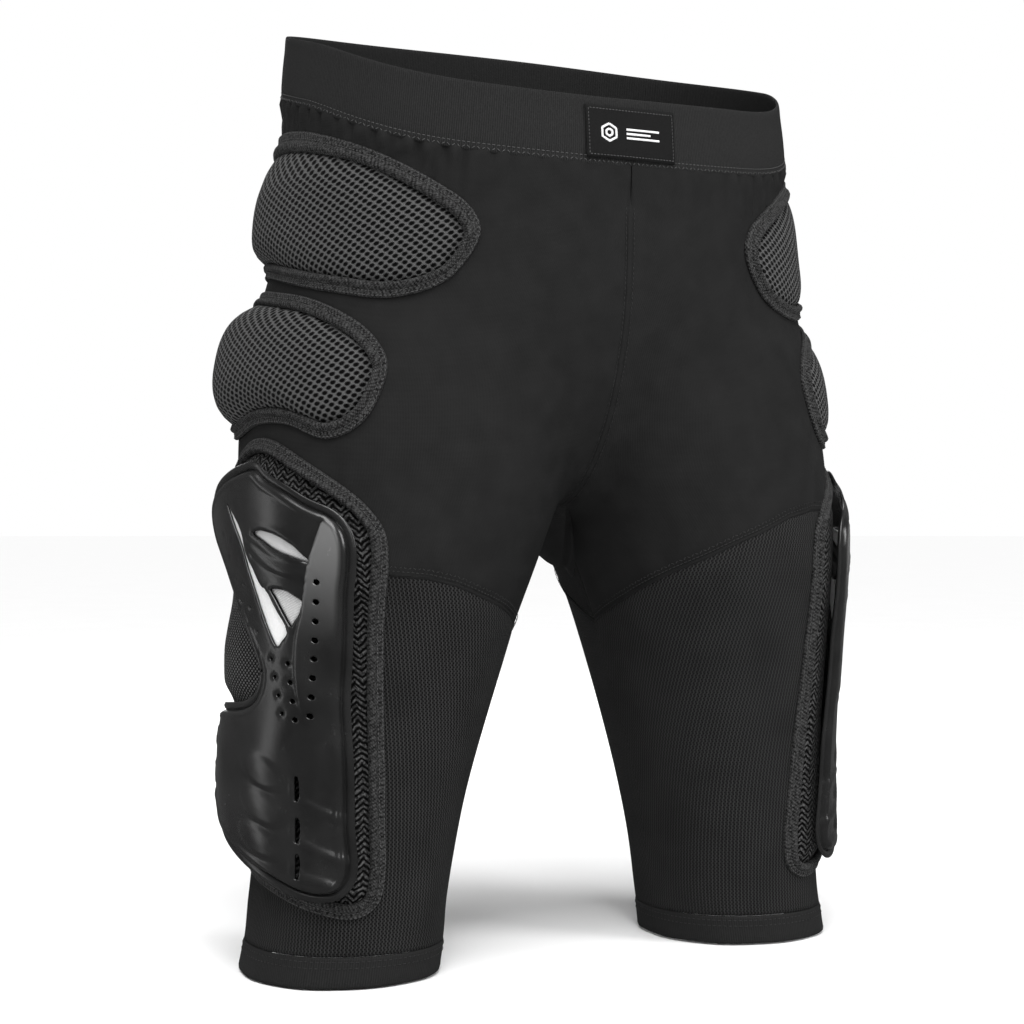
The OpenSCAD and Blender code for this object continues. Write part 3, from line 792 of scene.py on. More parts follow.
def stretch_panel(word):
    """Half of the stretch fabric, from inside the waistband to the seam above the leg mesh."""
    side = SIDES[word]
    around = np.linspace(-179.7, 179.7, 300)[None, :]
    levels = np.concatenate([np.arange(-11, -250, -2.6), np.arange(-250, -295, -0.9),
                             np.arange(-295, -342, -2.6)])[:, None]
    seams = lambda z: (seam_angle(z, 1), seam_angle(z, -1))
    at_top = np.clip(around, *seams(np.full_like(around, -30)))
    top = below_waist(BAND_H - 9, skin(at_top, np.full_like(around, -30), 0)[..., 1])
    bottom = divide(around, word)
    z = np.clip(levels, bottom, top)
    angle = np.clip(around, *seams(z))
    y = skin(angle, z, 0)[..., 1]
    front, back = seams(z)[1] - angle, angle - seams(z)[0]
    seam_side = smooth01(np.minimum(front, back), 0, 9)
    down = -z * (1 + rise(y) / RISE_DEPTH) - BAND_H
    off = (gathers(angle, down) + drape(angle, z, word)) * (0.15 + 0.85 * seam_side)
    meets = 2.7 * smooth01(down, -7, -1) * (1 - smooth01(down, 0, 26))
    room = 1.1 + 2.8 * (1 - smooth01(down, 2, 12))
    off = np.where(np.abs(angle) < 62, np.minimum(off + meets, room), off + meets)
    points = skin(angle, z, off, side)
    uv = np.stack([np.radians(angle) * turn_radius(z), z], -1)
    obj = clean(grid("stretch_fabric_" + word, points, uv, KNIT, flip=side < 0))
    thicken(obj, FABRIC_T)
    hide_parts(*(n + word for n in ("front_panel_", "back_panel_", "front_hip_crease_",
                                          "back_hip_crease_")))
    bends(obj)


def leg_drape(angle, z, word):
    a = np.radians(angle)
    shift = 0.0 if word == "left" else 1.7
    soft = 0.8 * np.sin(2 * a + z / 32 + shift) * smooth01(np.abs(angle), 60, 110)
    low = 0.7 * np.sin(5 * a + z / 30 + shift) * smooth01(-z, 440, 505)
    return (soft + low) * smooth01(z, HEM_Z + HEM_H - 2, HEM_Z + HEM_H + 25)


def leg_tube(word):
    """The ribbed mesh of one leg, from its curved seam down to the hem."""
    side = SIDES[word]
    angle = np.linspace(-180, 180, 192, endpoint=False)[None, :]
    f = np.linspace(0, 1, 81)[:, None]
    top = divide(angle, word) - 0.3
    z = top + (HEM_Z + HEM_H + 0.3 - top) * f
    angle = angle + 0 * z
    edge = smooth01(f * 80, 0, 3) * np.ones_like(z)
    off = leg_drape(angle, z, word) * edge
    points = skin(angle, z, off, side)
    wide = np.concatenate([angle, angle[:, :1] + 360], 1)
    tall = np.concatenate([z, z[:, :1]], 1)
    uv = np.stack([np.radians(wide) * turn_radius(tall), tall], -1)
    obj = grid("leg_mesh_fabric_" + word, points, uv, LEG, wrap_cols=True, flip=side < 0)
    thicken(obj, FABRIC_T)
    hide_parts("leg_mesh_" + word)
    bends(obj)


def sweep(name, path, normal, profile, material, closed=False):
    """A profile (sideways, outwards) swept along a path; all in millimetres."""
    tangent = np.gradient(path, axis=0)
    if closed:
        tangent = np.roll(path, -1, 0) - np.roll(path, 1, 0)
    beside = unit(np.cross(normal, unit(tangent)))
    profile = np.asarray(profile, float)
    points = (path[:, None] + profile[None, :, :1] * beside[:, None]
              + profile[None, :, 1:] * normal[:, None])
    run, girth = run_along(close_ring(path)), run_along(close_ring(profile))
    rows = len(path) + (1 if closed else 0)
    uv = np.stack(np.broadcast_arrays(run[:rows, None], girth[None, :]), -1)
    return grid(name, points, uv, material, wrap_cols=True, wrap_rows=closed)


def ridge_profile(width, height, base=-0.3):
    """A low rounded ridge."""
    a = np.linspace(math.pi, 0, 9)
    top = [[width / 2 * math.cos(k), base + height * math.sin(k)] for k in a]
    return top + [[width / 2, base - 0.5], [-width / 2, base - 0.5]]


def hem_band(word):
    """The turned-up hem: a doubled band with a rounded lower edge."""
    side = SIDES[word]
    angle = np.linspace(-180, 180, 144, endpoint=False)
    top, low = HEM_Z + HEM_H, HEM_Z
    profile = [(top, -0.4), (top - 0.2, 0.15), (top - 1.4, 0.45), (top - 6, 0.5), (top - 12, 0.5),
               (low + 2.0, 0.6), (low + 0.7, 0.3), (low + 0.1, -0.5), (low + 0.4, -1.2),
               (low + 2.0, -1.5), (top - 8, -1.4), (top - 0.2, -1.3)]
    z, off = np.array(profile).T[..., None]
    flutter = 0.35 * np.sin(np.radians(angle) * 9 + 0.4) * smooth01(-z, 514, 528)
    around = np.radians(np.append(angle, 180)) * 62
    uv = np.stack(np.broadcast_arrays(around, np.vstack([-z, [[-top]]])), -1)
    obj = grid("hem_band_" + word, skin(angle, z, off + flutter, side), uv, HEM, wrap_cols=True,
               wrap_rows=True, flip=side > 0)
    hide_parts("hem_" + word)
    rides(obj, word + "_leg")
    for name, z in (("upper", top - 2.6), ("lower", top - 6.2)):
        ring = np.linspace(-180, 180, 241)
        path = skin(ring, z, 0.45, side)
        row = sew(f"hem_stitches_{name}_{word}", path, skin(ring, z, 4.0, side) - path, THREAD,
                  2.4, 3.3, 0.28)
        rides(row, word + "_leg")


def gusset():
    """The diamond under the crotch, which rounds off the arch between the legs."""
    along = np.linspace(-34, 42, 61)[:, None]
    across = np.linspace(-1, 1, 61)[None, :]
    half = 26 * (1.02 - np.abs((along - 4) / 38) ** 1.5)
    x, y = across * half, along + 0 * across
    below = lambda z: outside(np.abs(x), y, section_at(z)) >= 0
    z = bisect(below, np.full(x.shape, -400.0), np.full(x.shape, -200.0))
    edge = smooth01(np.minimum(1 - np.abs(across), 1 - np.abs((along - 4) / 38)), 0, 0.4)
    p = stand_off(np.abs(x), y, z, 2.1 * edge - 0.7)
    p[..., 0] *= np.where(x < 0, -1, 1)
    web = -281.5 - 0.03 * x ** 2 + 36 * np.abs((along - 4) / 38) ** 2.5
    lower = np.minimum(web - p[..., 2], 0)
    p[..., 2] += lower * smooth01(1 - np.abs(across), 0, 0.4)
    obj = grid("crotch_gusset_fabric", p, np.stack([x, y], -1), KNIT)
    thicken(obj, 0.8)
    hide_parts("crotch_gusset")
    rides(obj, "pelvis")


# ---- waistband ----

def band_ring(down, off):
    """A ring of points a distance down from the waist's edge."""
    f = np.linspace(0, 1, 140)

    def spot(g, side):
        z = np.full_like(g, -30.0)
        for _ in range(3):
            s = section_at(z)
            front = np.degrees(np.arctan2(-(depth(0.0, s, -1) - s[:, 4]), -s[:, 3]))
            back = -np.degrees(np.arctan2(depth(0.0, s, 1) - s[:, 4], -s[:, 3]))
            angle = front + (back - front) * g
            z = below_waist(down, skin(angle, z, 0)[:, 1])
        return skin(angle, z, off, side)

    return np.vstack([spot(f, 1), spot(f[-2:0:-1], -1)])


def waistband():
    profile = [(0.9, 1.5), (0.25, 2.0), (0.0, 2.6), (0.3, 3.2), (1.2, 3.6), (4, 3.8), (9, 3.6),
               (15, 3.8), (22, 3.9), (29, 3.7), (34.5, 3.5), (35.6, 3.05), (37.0, 3.25),
               (38.6, 3.1), (39.7, 2.7), (40.1, 2.2), (39.7, 1.7), (38.6, 1.5), (30, 1.4),
               (20, 1.3), (10, 1.4)]
    points = np.array([band_ring(d, o) for d, o in profile])
    points[:, :, 2] += 0.35 * np.sin(np.arange(points.shape[1]) / 9.0)[None, :]
    run = run_along(close_ring(points[8]))
    down = np.array([d for d, _ in profile] + [profile[0][0]])
    uv = np.stack(np.broadcast_arrays(run[None, :], down[:, None]), -1)
    obj = grid("waistband_elastic", points, uv, ELASTIC, wrap_cols=True, wrap_rows=True, flip=True)
    subdivide(obj)
    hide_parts("waistband")
    rides(obj, "pelvis")
    for k, (down_by, lean) in enumerate(((35.6, 0), (38.2, 38))):
        path = close_ring(band_ring(down_by, 3.2))
        out = close_ring(band_ring(down_by, 6.2)) - path
        row = sew(f"waistband_stitches_{k}", path, out, PALE_THREAD, 2.3, 2.9, 0.26, 0.1, lean)
        rides(row, "pelvis")


def label():
    """A small woven patch on the front, with a stitched border and a plain mark."""
    half_w, half_h, middle = 29.5, 15.5, -21.0

    def on_band(q, off):
        q = np.asarray(q, float)
        return on_face(np.stack([q[..., 0], below_waist(-q[..., 1], -115.0)], -1), off, -1)

    x = np.linspace(-half_w, half_w, 53)
    z = middle + np.linspace(half_h, -half_h, 28)
    xz = np.stack(np.meshgrid(x, z), -1)
    edge = np.minimum(half_w - np.abs(xz[..., 0]), half_h - np.abs(xz[..., 1] - middle))
    pillow = 4.75 + 0.55 * smooth01(edge, 0, 2.5) + 0.15 * np.sin(xz[..., 0] / 6)
    obj = grid("waist_label_patch", on_band(xz, pillow), xz, LABEL, flip=True)
    thicken(obj, 0.9)
    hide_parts("waist_label")
    rides(obj, "pelvis")
    place = lambda q, off: on_band(q, 5.2 + off)
    w, h = half_w - 1.8, half_h - 1.8
    corners = [[-w, middle - h], [w, middle - h], [w, middle + h], [-w, middle + h], [-w, middle - h]]
    line = even_line(corners, 1.0)
    row = sew("label_border_stitches", place(line, 0.0), normals_along(place, line), PALE_THREAD,
              1.7, 2.1, 0.28)
    rides(row, "pelvis")
    hexagons = [[[-15 + r * math.cos(a), middle + r * math.sin(a)]
                 for a in np.radians(np.arange(90, 451, 60))] for r in (5.2, 2.2)]
    bars = [[[-4, middle + up], [end, middle + up]] for up, end in ((2.6, 18), (0, 12), (-2.6, 18))]
    for k, shape in enumerate(hexagons + bars):
        path = even_line(shape, 0.6)
        obj = sweep(f"label_mark_{k}", place(path, 0.05), normals_along(place, path),
                    ridge_profile(1.3, 0.55, 0.0), MARK_THREAD)
        rides(obj, "pelvis")


# ---- seams ----

def centre_seam(facing, name):
    """The felled seam down the middle of the front or back."""
    z = np.linspace(below_waist(BAND_H - 9, facing * 115.0), -269 if facing < 0 else -276, 200)
    xz = np.stack([np.zeros_like(z), z], -1)
    place = lambda q, off: on_face(q, off, facing)
    obj = sweep(name, place(xz, 0.2), normals_along(place, xz), ridge_profile(3.4, 0.7), KNIT)
    rides(obj, "pelvis")
    for k in (-1, 1):
        line = xz + [k * 2.6, 0]
        row = sew(f"{name}_stitches_{'a' if k < 0 else 'b'}", place(line, 0.15),
                  normals_along(place, line), THREAD, 2.1, 2.9, 0.24)
        rides(row, "pelvis")


def divide_seam(word):
    """The raised seam where the stretch fabric meets the leg mesh."""
    side = SIDES[word]
    angle = np.linspace(-180, 180, 220, endpoint=False)
    z = divide(angle, word)
    path = skin(angle, z, 0.2, side)
    n = unit(skin(angle, z, 4.2, side) - path)
    obj = sweep("leg_seam_" + word, path, n, ridge_profile(2.0, 0.55), KNIT, closed=True)
    bends(obj)
    ring = np.linspace(-180, 180, 241)
    for key, up, lean in (("a", 2.4, 0), ("b", 4.6, 35)):
        z = divide(ring, word) + up
        path = skin(ring, z, 0.7, side)
        row = sew(f"leg_seam_stitches_{key}_{word}", path, skin(ring, z, 4.7, side) - path, THREAD,
                  2.0, 2.7, 0.25, 0.0, lean)
        bends(row)


# ---- pads ----

def bulge(uz):
    """Pads stand out most a little to the rear of the wearer's side."""
    return 0.55 + 0.85 * bump01(turn(uz[..., 0], uz[..., 1]), -32, 40)


def belly(uz):
    return 5 * bump01(uz[..., 1], -412, 48) * bump01(uz[..., 0], -30, 45)


def hip_height(uz):
    return 11.5 * bulge(uz)


def side_height(uz):
    return 14.5 * bulge(uz)


def tail_height(uz):
    return np.full(uz.shape[:-1], 8.5)


def thigh_height(uz):
    return 5.5 * bulge(uz) + belly(uz)


def puffed_height(uz):
    """The thigh pad's cover swells in the open window behind the shell's waist."""
    down = -uz[..., 1]
    swell = bump01(uz[..., 0], -42, 38) * smooth01(down, 298, 342) * (1 - smooth01(down, 357, 372))
    return thigh_height(uz) + 7.5 * swell


def weave_layer(obj, place_uv):
    """Weave coordinates for a mesh with no grid, from where each point lies on the garment."""
    uv = place_uv(co_of(obj))
    mesh = obj.data
    index = np.empty(len(mesh.loops), np.int32)
    mesh.loops.foreach_get("vertex_index", index)
    layer = mesh.uv_layers.get("Weave") or mesh.uv_layers.new(name="Weave")
    layer.data.foreach_set("uv", uv[index].astype(np.float32).ravel())


def side_uv(co):
    p = unwaisted(np.abs(co * [1, 0, 0]) + co * [0, 1, 1])
    s = section_at(p[:, 2])
    angle = np.arctan2(-(p[:, 1] - s[:, 4]), p[:, 0] - s[:, 3])
    return np.stack([angle * turn_radius(p[:, 2]), p[:, 2]], -1)


def back_uv(co):
    p = unwaisted(co)
    return np.stack([p[:, 0], p[:, 2]], -1)


def height_of(co):
    """How far points stand off the garment's surface, in millimetres."""
    p = unwaisted(co)
    here, slope = growth(np.abs(p[:, 0]), p[:, 1], p[:, 2])
    return here / np.maximum(np.linalg.norm(slope, axis=1), 1e-6)


def outward_at(co):
    p = unwaisted(co)
    n = outward(np.abs(p[:, 0]), p[:, 1], p[:, 2])
    n[:, 0] *= np.where(co[:, 0] < 0, -1, 1)
    return n


def pad_form(name, points, centre, place, height, share, material):
    """A closed domed form over an outline, deep enough underneath to be remeshed."""
    edge = even_loop(inset(smooth_outline(points), TAPE_W - 0.6), 120)
    centre = np.asarray(centre, float)
    top, low = [], []
    for f in (1, 0.97, 0.93, 0.88, 0.82, 0.74, 0.65, 0.55, 0.45, 0.35, 0.25, 0.15, 0.06):
        ring = centre + f * (edge - centre)
        top.append(place(ring, LIFT + share(f) * height(ring)))
        low.append(place(ring, -7.0))
    rows = np.array(low[::-1] + top)
    n, last = len(edge), (len(rows) - 1) * len(edge)
    obj = grid(name, rows, np.zeros((len(rows), n + 1, 2)), material, wrap_cols=True)
    caps = [list(range(n))[::-1], [last + k for k in range(n)]]
    co, faces = co_of(obj), [list(p.vertices) for p in obj.data.polygons]
    bpy.data.objects.remove(obj)
    return make(name, co, faces + caps, material)


CLOTH = {"quality": 5, "mass": 0.2, "tension_stiffness": 18, "compression_stiffness": 18,
         "bending_stiffness": 1.5, "use_pressure": True, "uniform_pressure_force": 4,
         "vertex_group_mass": "held"}


def cloth_swell(obj, cap):
    """Swells the cover with cloth simulation, held where it is sewn down."""
    remesh = obj.modifiers.new("remesh", "REMESH")
    remesh.mode = "VOXEL"
    remesh.voxel_size = 4.5 * MM
    remesh.use_smooth_shade = True
    settle(obj)
    start = co_of(obj)
    held = obj.vertex_groups.new(name="held")
    for k in np.nonzero(height_of(start) < 2.6)[0]:
        held.add([int(k)], 1.0, "REPLACE")
    cloth = obj.modifiers.new("cloth", "CLOTH")
    for key, value in CLOTH.items():
        setattr(cloth.settings, key, value)
    cloth.settings.effector_weights.gravity = 0
    scene = bpy.context.scene
    for at in range(1, 21):
        scene.frame_set(at)
    settle(obj)
    scene.frame_set(1)
    move = co_of(obj) - start
    far = np.linalg.norm(move, axis=1, keepdims=True)
    set_co(obj, start + move * np.minimum(1, cap / np.maximum(far, 1e-6)))


def rest_on_fabric(obj, gap=0.5):
    """Flattens the underside onto the garment."""
    co = co_of(obj)
    set_co(obj, co + np.maximum(gap - height_of(co), 0)[:, None] * outward_at(co))


def dome_share(f):
    return 1 - f ** 3.2


def plateau_share(f):
    return smooth01(1.0 - f, 0.0, 0.13)


def pad_cover(name, points, centre, place, height, share, material, cap, uv):
    obj = pad_form(name, points, centre, place, height, share, material)
    cloth_swell(obj, cap)
    subdivide(obj)
    rest_on_fabric(obj)
    weave_layer(obj, uv)
    for p in obj.data.polygons:
        p.use_smooth = True
    return obj


TAPE_PROFILE = [(0.0, 0.1), (0.1, 1.3), (0.6, 2.0), (2.0, 2.3), (3.5, 2.2), (4.1, 2.3), (4.5, 3.3),
                (5.3, 4.4), (6.4, 4.9), (7.5, 4.6), (8.4, 3.7), (8.9, 2.4), (9.0, 0.6)]


def binding(name, points, place):
    """The two-step edge binding: a flat stitched tape outside a raised cord."""
    loop = even_loop(smooth_outline(points), 60 * max(5, len(points) // 3))
    rows = np.stack([place(inset(loop, q), h) for q, h in TAPE_PROFILE], 1)
    run = run_along(close_ring(rows[:, 4]))
    across = np.arange(len(TAPE_PROFILE) + 1) * 1.1
    uv = np.stack(np.broadcast_arrays(run[:, None], across[None, :]), -1)
    return grid(name, rows, uv, BINDING, wrap_cols=True, wrap_rows=True), loop


def binding_stitches(name, loop, place):
    """Stitch rows along the tape and along the foot of the cord."""
    made = []
    for key, q, h, length in (("outer", 0.9, 2.15, 1.9), ("inner", 3.4, 2.3, 1.7)):
        line = close_ring(inset(loop, q))
        path = place(line, h)
        made.append(sew(f"{name}_{key}", path, place(line, h + 4.0) - path, PALE_THREAD, length,
                        2.6, 0.26, 0.05))
    return made


def build_pads():
    """Every padded piece, made on the left and mirrored to the right."""
    kinds = [
        ("hip_pad", HIP_OUTLINE, [20, -86], hip_height, dome_share, SPACER, 5.0, "pelvis"),
        ("side_pad", SIDE_OUTLINE, [2, -168], side_height, dome_share, SPACER, 6.0, "bend"),
        ("thigh_pad", THIGH_OUTLINE, [18, -352], puffed_height, plateau_share, BORDER, 1.0, "bend")]
    for key, outline, centre, height, share, material, cap, way in kinds:
        cover = pad_cover(f"{key}_cushion_left", outline, centre, on_side, height, share, material,
                          cap, side_uv)
        tape, loop = binding(f"{key}_tape_left", outline, on_side)
        rows = binding_stitches(f"{key}_tape_stitches_left", loop, on_side)
        pieces = [(cover, "spacer_mesh"), (tape, "binding")] + [(row, "binding") for row in rows]
        pieces += [(mirrored(obj, obj.name.replace("left", "right")), slot_name)
                   for obj, slot_name in pieces]
        for obj, slot_name in pieces:
            word = "left" if "left" in obj.name else "right"
            if way == "bend":
                bends(obj)
            else:
                rides(obj, "pelvis")
            if "cushion" in obj.name:
                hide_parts(f"{key}_foam_{word}", f"{key}_cover_{word}")
            if obj.name == f"{key}_tape_{word}":
                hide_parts(f"{key}_binding_{word}")


def tailbone():
    cover = pad_cover("tailbone_pad_cushion", TAIL_OUTLINE, [0, -112], on_back, tail_height,
                      dome_share, SPACER, 5.0, back_uv)
    tape, loop = binding("tailbone_pad_tape", TAIL_OUTLINE, on_back)
    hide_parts("tailbone_pad_foam", "tailbone_pad_cover")
    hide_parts("tailbone_pad_binding")
    rides(cover, "pelvis")
    rides(tape, "pelvis")
    for row in binding_stitches("tailbone_tape_stitches", loop, on_back):
        rides(row, "pelvis")


# ---- hard shell ----

# The rear edge of the raised arm in front of the window
ARM_EDGE = [[77, -262], [71, -274], [66, -286], [62, -299], [59, -312], [54, -325], [51, -345],
            [52, -366], [58, -382]]
BAR = smooth_line([[24, -276], [36, -284], [50, -289], [64, -291]])
WINDOW_SLOPE = smooth_line([[8, -250], [14, -262], [20, -276], [22, -286]], 6)
# Ridges and grooves: the line, its height in millimetres and its half width
RIDGES = [
    (BAR, 0.7, 2.6), (BAR - [0, 4], -0.35, 1.3), (WINDOW_SLOPE, 0.35, 1.4),
    ([[52, -422], [60, -426], [69, -430]], 1.3, 2.2),
    ([[52, -446], [60, -450], [70, -454]], 1.3, 2.2),
    ([[52, -465], [60, -467], [66, -469]], 1.3, 2.2),
    ([[-42, -384], [-30, -394]], 0.8, 1.3), ([[-42, -405], [-28, -418]], 0.8, 1.3),
    ([[-36, -425], [-22, -437]], 0.8, 1.3)]
# Oval bulges: middle and half sizes
OVALS = [[25, -406, 19, 9], [25, -427, 19, 9], [23, -447, 19, 8]]
TILT = math.radians(-22)
OVAL_TURN = np.array([[math.cos(TILT), -math.sin(TILT)], [math.sin(TILT), math.cos(TILT)]])


def shell_base(uz):
    return LIFT + thigh_height(uz) + COVER_T + 1.6


def circle(centre, r, n=18):
    a = np.linspace(0, 2 * math.pi, n, endpoint=False)
    return np.stack([centre[0] + r * np.cos(a), centre[1] + r * np.sin(a)], -1)


def vent_circles():
    out = []
    for first, last, count, r in VENT_ROWS:
        for k in range(count):
            c = np.array(first) + (np.array(last) - np.array(first)) * k / (count - 1)
            out.append((c, r))
    return out


def slot_loop(c):
    """A tall slot with rounded ends."""
    a = circle((0, 0), 1, 28)
    return c + np.sign(a) * np.abs(a) ** 0.5 * [1.3, SLOT_HALF]


def shell_loops():
    """The shell's outline and its windows."""
    outline = even_loop(smooth_outline(SHELL_FRONT + SHELL_REAR), 420)[::-1]
    return outline, [even_loop(smooth_outline(w, 6), 90) for w in (BLADE, LENS, WEDGE)]


def shell_relief(p, outline, windows):
    """Height of the shell's outer face above its underside, and where the arm is."""
    d = line_distance(p, outline, True)
    bead = 0.9 * bump01(d, 1.0, 0.9)
    groove = -0.9 * bump01(d, 3.6, 1.3)
    body = 2.6 * smooth01(d, 4.6, 6.6)
    crown = 0.8 * smooth01(d, 5, 40)
    second = 0.55 * bump01(d, 6.9, 0.9)
    h = 2.0 + bead + groove + body + crown + second
    x, down = p[:, 0], -p[:, 1]
    arm_edge = smooth_line(ARM_EDGE)
    right = x - np.interp(down, -arm_edge[:, 1], arm_edge[:, 0])
    tall = smooth01(down, 258, 264) * (1 - smooth01(down, 366, 384))
    arm = smooth01(right, 0.0, 1.6) * smooth01(d, 6.5, 8.5) * tall
    ditch = bump01(right, -0.8, 1.1) * tall * smooth01(down, 255, 262)
    h += 1.1 * arm - 1.2 * ditch * (1 - smooth01(down, 318, 330)) * smooth01(d, 6, 8)
    for k, loop in enumerate(windows):
        near = line_distance(p, loop, True)
        lip = 0.0 if k == 0 else 0.45
        h += lip * bump01(near, 2.0, 1.2) - 0.3 * bump01(near, 0, 0.7)
    for line, height, half in RIDGES:
        h += height * bump01(line_distance(p, line), 0, half)
    for a, b, ra, rb in OVALS:
        along, up = ((p - [a, b]) @ OVAL_TURN).T
        q = np.hypot(along / ra, up / rb)
        h += 0.85 * (1 - smooth01(q, 0.78, 1.06)) + 0.2 * (1 - smooth01(q, 0, 0.8))
    for a, b in SLOTS:
        ramp = smooth01(x, a + 1.5, a + 3) * (1 - smooth01(x, a + 3, a + 20))
        h -= 1.2 * ramp * bump01(p[:, 1], b, SLOT_HALF)
        h += 0.7 * bump01(x, a - 2.6, 1.1) * bump01(p[:, 1], b, 8)
    for c, r in vent_circles():
        h -= 0.5 * bump01(np.linalg.norm(p - c, axis=1), r, 1.0)
    corner = smooth01(-x, 22, 44) * (1 - smooth01(down, 372, 396))
    h -= 2.4 * corner * smooth01(down, 340, 360)
    return h, arm


def lattice(low, high, pitch):
    xs = np.arange(low[0], high[0], pitch)
    ys = np.arange(low[1], high[1], pitch * 0.866)
    x, y = np.meshgrid(xs, ys)
    x[1::2] += pitch / 2
    return np.stack([x.ravel(), y.ravel()], -1)


def fill(outline, cuts, extra):
    """Flat triangles inside an outline and outside its cut-outs, through the extra points."""
    points, edges = [], []
    for loop in [outline] + cuts:
        base = len(points)
        points += list(map(tuple, loop))
        edges += [(base + k, base + (k + 1) % len(loop)) for k in range(len(loop))]
    flat = [Vector(p) for p in points + list(map(tuple, extra))]
    verts, _, faces, _, _, _ = delaunay_2d_cdt(flat, edges, [], 0, 1e-4, False)
    verts = np.array([tuple(v) for v in verts])
    faces = np.array([f for f in faces if len(f) == 3])
    middle = verts[faces].mean(1)
    ok = within(middle, outline)
    for loop in cuts:
        ok &= ~within(middle, loop)
    faces = faces[ok]
    a, b, c = verts[faces[:, 0]], verts[faces[:, 1]], verts[faces[:, 2]]
    area = (b - a)[:, 0] * (c - a)[:, 1] - (b - a)[:, 1] * (c - a)[:, 0]
    faces = np.where(area[:, None] > 0, faces, faces[:, ::-1])[np.abs(area) > 1e-6]
    used = np.unique(faces)
    remap = np.full(len(verts), -1)
    remap[used] = np.arange(len(used))
    return verts[used], remap[faces]


def shell_mesh():
    """The shell's outer face as flat points, triangles and its cut-outs."""
    outline, windows = shell_loops()
    cuts = windows + [slot_loop(c) for c in SLOTS] + [circle(c, r) for c, r in vent_circles()]
    rings = []
    for w in (0.45, 0.95, 1.5, 2.1, 2.8, 3.5, 4.2, 4.8, 5.4, 6.0, 6.6, 7.3, 8.2, 9.2):
        ring = inset(outline, w)
        rings.append(ring[line_distance(ring, outline, True) > w - 0.12])
    around = [circle(c, r + w) for c, r in vent_circles() for w in (0.7, 1.5)]
    around += [even_loop(inset(loop, g), 90) for loop in windows for g in (-0.7, -1.5, -2.6)]
    inner = lattice(outline.min(0), outline.max(0), 1.5)
    inner = inner[within(inner, outline) & (line_distance(inner, outline, True) > 9.8)]
    for c, r in vent_circles():
        inner = inner[np.linalg.norm(inner - c, axis=1) > r + 2.2]
    extra = np.vstack(rings + around + [inner])
    keep = within(extra, outline)
    for loop in cuts:
        keep &= ~within(extra, loop) & (line_distance(extra, loop, True) > 0.4)
    extra = extra[keep]
    cell = np.round(extra / 0.35).astype(int)
    _, first = np.unique(cell, axis=0, return_index=True)
    verts, faces = fill(outline, cuts, extra[np.sort(first)])
    return verts, faces, outline, windows


def hard_shell():
    verts, faces, outline, windows = shell_mesh()
    h, arm = shell_relief(verts, outline, windows)
    points = on_side(verts, shell_base(verts) + h)
    corners = verts[faces].reshape(-1, 2)
    left = make("thigh_shell_moulding_left", points, faces, SHELL, corners)
    # Painted reflection: the raised arm is painted paler at its top, fading out downwards
    painted_arm_reflection = arm * (1 - smooth01(-verts[:, 1], 258, 335)) * smooth01(-verts[:, 1], 255, 262)
    left.data.attributes.new("PaintedArmReflection", "FLOAT", "POINT").data.foreach_set("value", painted_arm_reflection)
    thicken(left, 1.8)
    right = mirrored(left, "thigh_shell_moulding_right")
    line = close_ring(inset(outline, 3.6))
    place = lambda q, off: on_side(q, shell_base(q) + 1.35 + off)
    sewn = sew("shell_stitches_left", place(line, 0.0), normals_along(place, line), PALE_THREAD,
               1.9, 3.0, 0.3, 0.0)
    sewn_right = mirrored(sewn, "shell_stitches_right")
    for obj, row, word in ((left, sewn, "left"), (right, sewn_right, "right")):
        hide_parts("thigh_shell_" + word)
        rides(obj, word + "_leg")
        rides(row, word + "_leg")


def insert():
    """The silver insert, let into the shell's windows."""
    outline, windows = shell_loops()
    kinds = ("blade", FOIL, 0.05), ("lens", SILVER, 1.0), ("wedge", SILVER, 1.0)
    for loop, (key, material, sunk) in zip(windows, kinds):
        inner = lattice(loop.min(0), loop.max(0), 1.4)
        keep = within(inner, loop) & (line_distance(inner, loop, True) > 0.5)
        verts, faces = fill(loop, [], inner[keep])
        h, _ = shell_relief(verts, outline, windows)
        points = on_side(verts, shell_base(verts) + h - sunk)
        left = make(f"shell_insert_{key}_left", points, faces, material, verts[faces].reshape(-1, 2))
        thicken(left, 0.5)
        right = mirrored(left, f"shell_insert_{key}_right")
        for obj, word in ((left, "left"), (right, "right")):
            if key == "blade":
                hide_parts("shell_insert_" + word)
            rides(obj, word + "_leg")


# ---- the setting ----

def studio():
    """A wide, plain, pale floor."""
    floor_z = HEM_Z - 1.0
    radii = np.array([0, 400, 1200, 4000, 16000, 60000.0])[:, None]
    angle = np.linspace(0, 2 * math.pi, 64, endpoint=False)[None, :]
    rows = np.stack([radii * np.cos(angle), radii * np.sin(angle), floor_z + 0 * radii * angle], -1)
    uv = np.concatenate([rows, rows[:, :1]], 1)[..., :2]
    paint = floor_paint()
    middle = make("floor_middle", rows[1], [list(range(64))], paint)
    for obj in (grid("floor", rows[1:], uv[1:], paint, wrap_cols=True), middle):
        obj.visible_glossy = False


def lamp(name, kind, direction, energy):
    """A light that shines along a direction."""
    data = bpy.data.lights.new(name, kind)
    data.energy = energy
    obj = bpy.data.objects.new(name, data)
    bpy.context.scene.collection.objects.link(obj)
    obj.rotation_euler = Vector(direction).to_track_quat("-Z", "Y").to_euler()
    return obj


def area_light(name, at, aim, size, power):
    obj = lamp(name, "AREA", Vector(aim) - Vector(at), power)
    obj.location = at
    obj.data.shape = "RECTANGLE"
    obj.data.size, obj.data.size_y = size


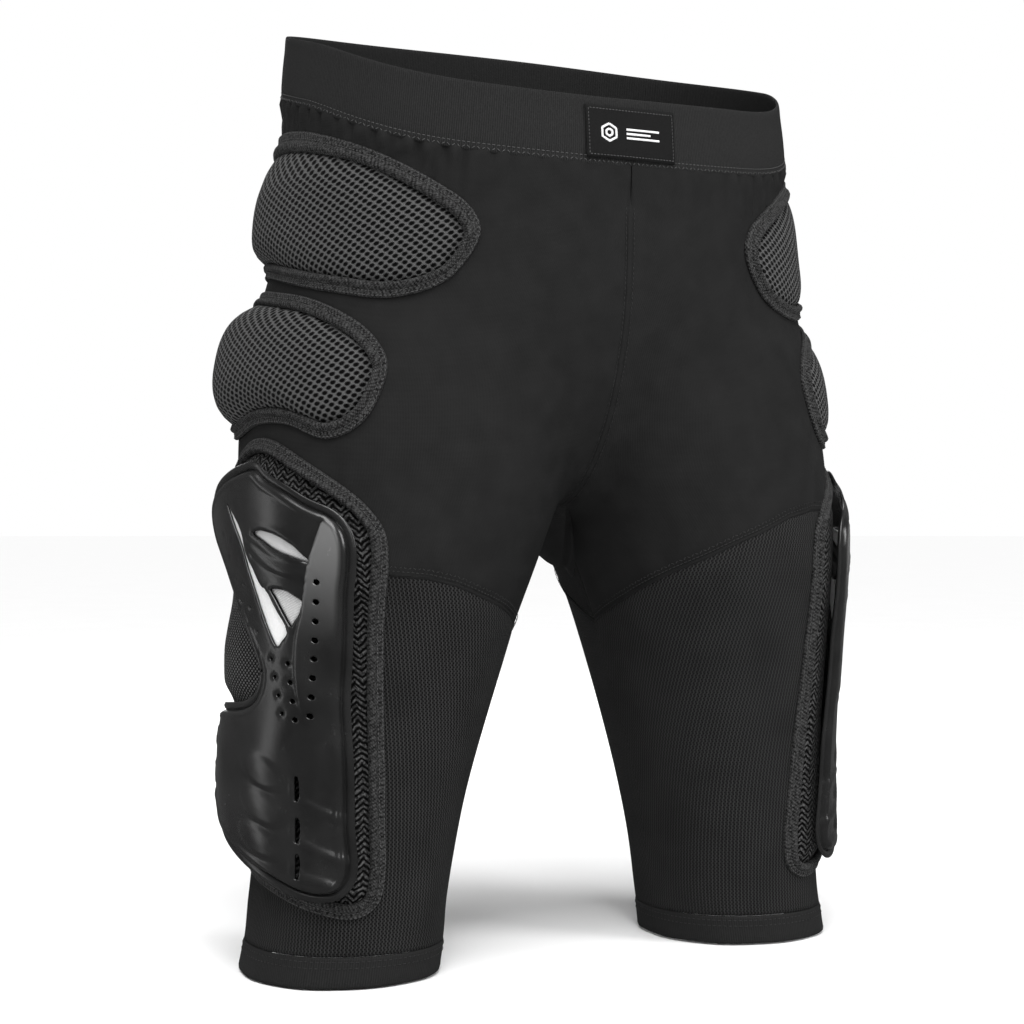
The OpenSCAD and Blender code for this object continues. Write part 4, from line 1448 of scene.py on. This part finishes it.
def lights():
    """A plain white setting: soft light from above and in front, darker to the sides."""
    world = bpy.data.worlds.new("studio")
    world.use_nodes = True
    tree = world.node_tree
    lit, seen = tree.nodes["Background"], tree.nodes.new("ShaderNodeBackground")
    for node, strength in ((lit, 0.13), (seen, 1.0)):
        node.inputs[0].default_value = (1, 1, 1, 1)
        node.inputs[1].default_value = strength
    mix = tree.nodes.new("ShaderNodeMixShader")
    path = tree.nodes.new("ShaderNodeLightPath")
    ends = (path.outputs["Is Camera Ray"], lit.outputs[0], seen.outputs[0])
    for output, socket in zip(ends, mix.inputs):
        tree.links.new(output, socket)
    tree.links.new(mix.outputs[0], tree.nodes["World Output"].inputs[0])
    bpy.context.scene.world = world
    bpy.context.scene.view_settings.view_transform = "Standard"
    lamp("overhead", "SUN", (0.25, 0.35, -1.0), 3.3).data.angle = math.radians(46)
    area_light("key", (-1.3, -1.9, 0.7), (0, 0, -0.25), (0.7, 1.5), 12)
    area_light("fill", (1.3, -1.7, 0.8), (0.08, -0.1, -0.1), (0.8, 1.4), 31)
    area_light("left_rim", (-1.8, 0.9, 0.1), (0, 0, -0.3), (0.25, 1.8), 3.5)
    area_light("top_strip", (-0.55, -1.5, 1.15), (-0.1, 0, -0.35), (0.3, 0.8), 9)
    area_light("back_left", (0.8, 2.0, 0.6), (0, 0, -0.3), (1.5, 1.4), 12)


def camera():
    data = bpy.data.cameras.new("camera")
    data.lens = 72.25
    data.sensor_width = 36
    data.shift_x = -0.0254
    data.shift_y = 0.0146
    data.clip_start = 0.05
    obj = bpy.data.objects.new("camera", data)
    obj.location = (-0.605, -1.162, -0.265)
    obj.rotation_euler = Vector((0.4617, 0.887, 0)).to_track_quat("-Z", "Y").to_euler()
    bpy.context.scene.collection.objects.link(obj)
    bpy.context.scene.camera = obj


def build():
    camera()
    studio()
    lights()
    waistband()
    label()
    for word in SIDES:
        stretch_panel(word)
        leg_tube(word)
        hem_band(word)
        divide_seam(word)
    gusset()
    centre_seam(-1, "front_centre_seam")
    centre_seam(1, "back_centre_seam")
    build_pads()
    tailbone()
    hard_shell()
    insert()


build()
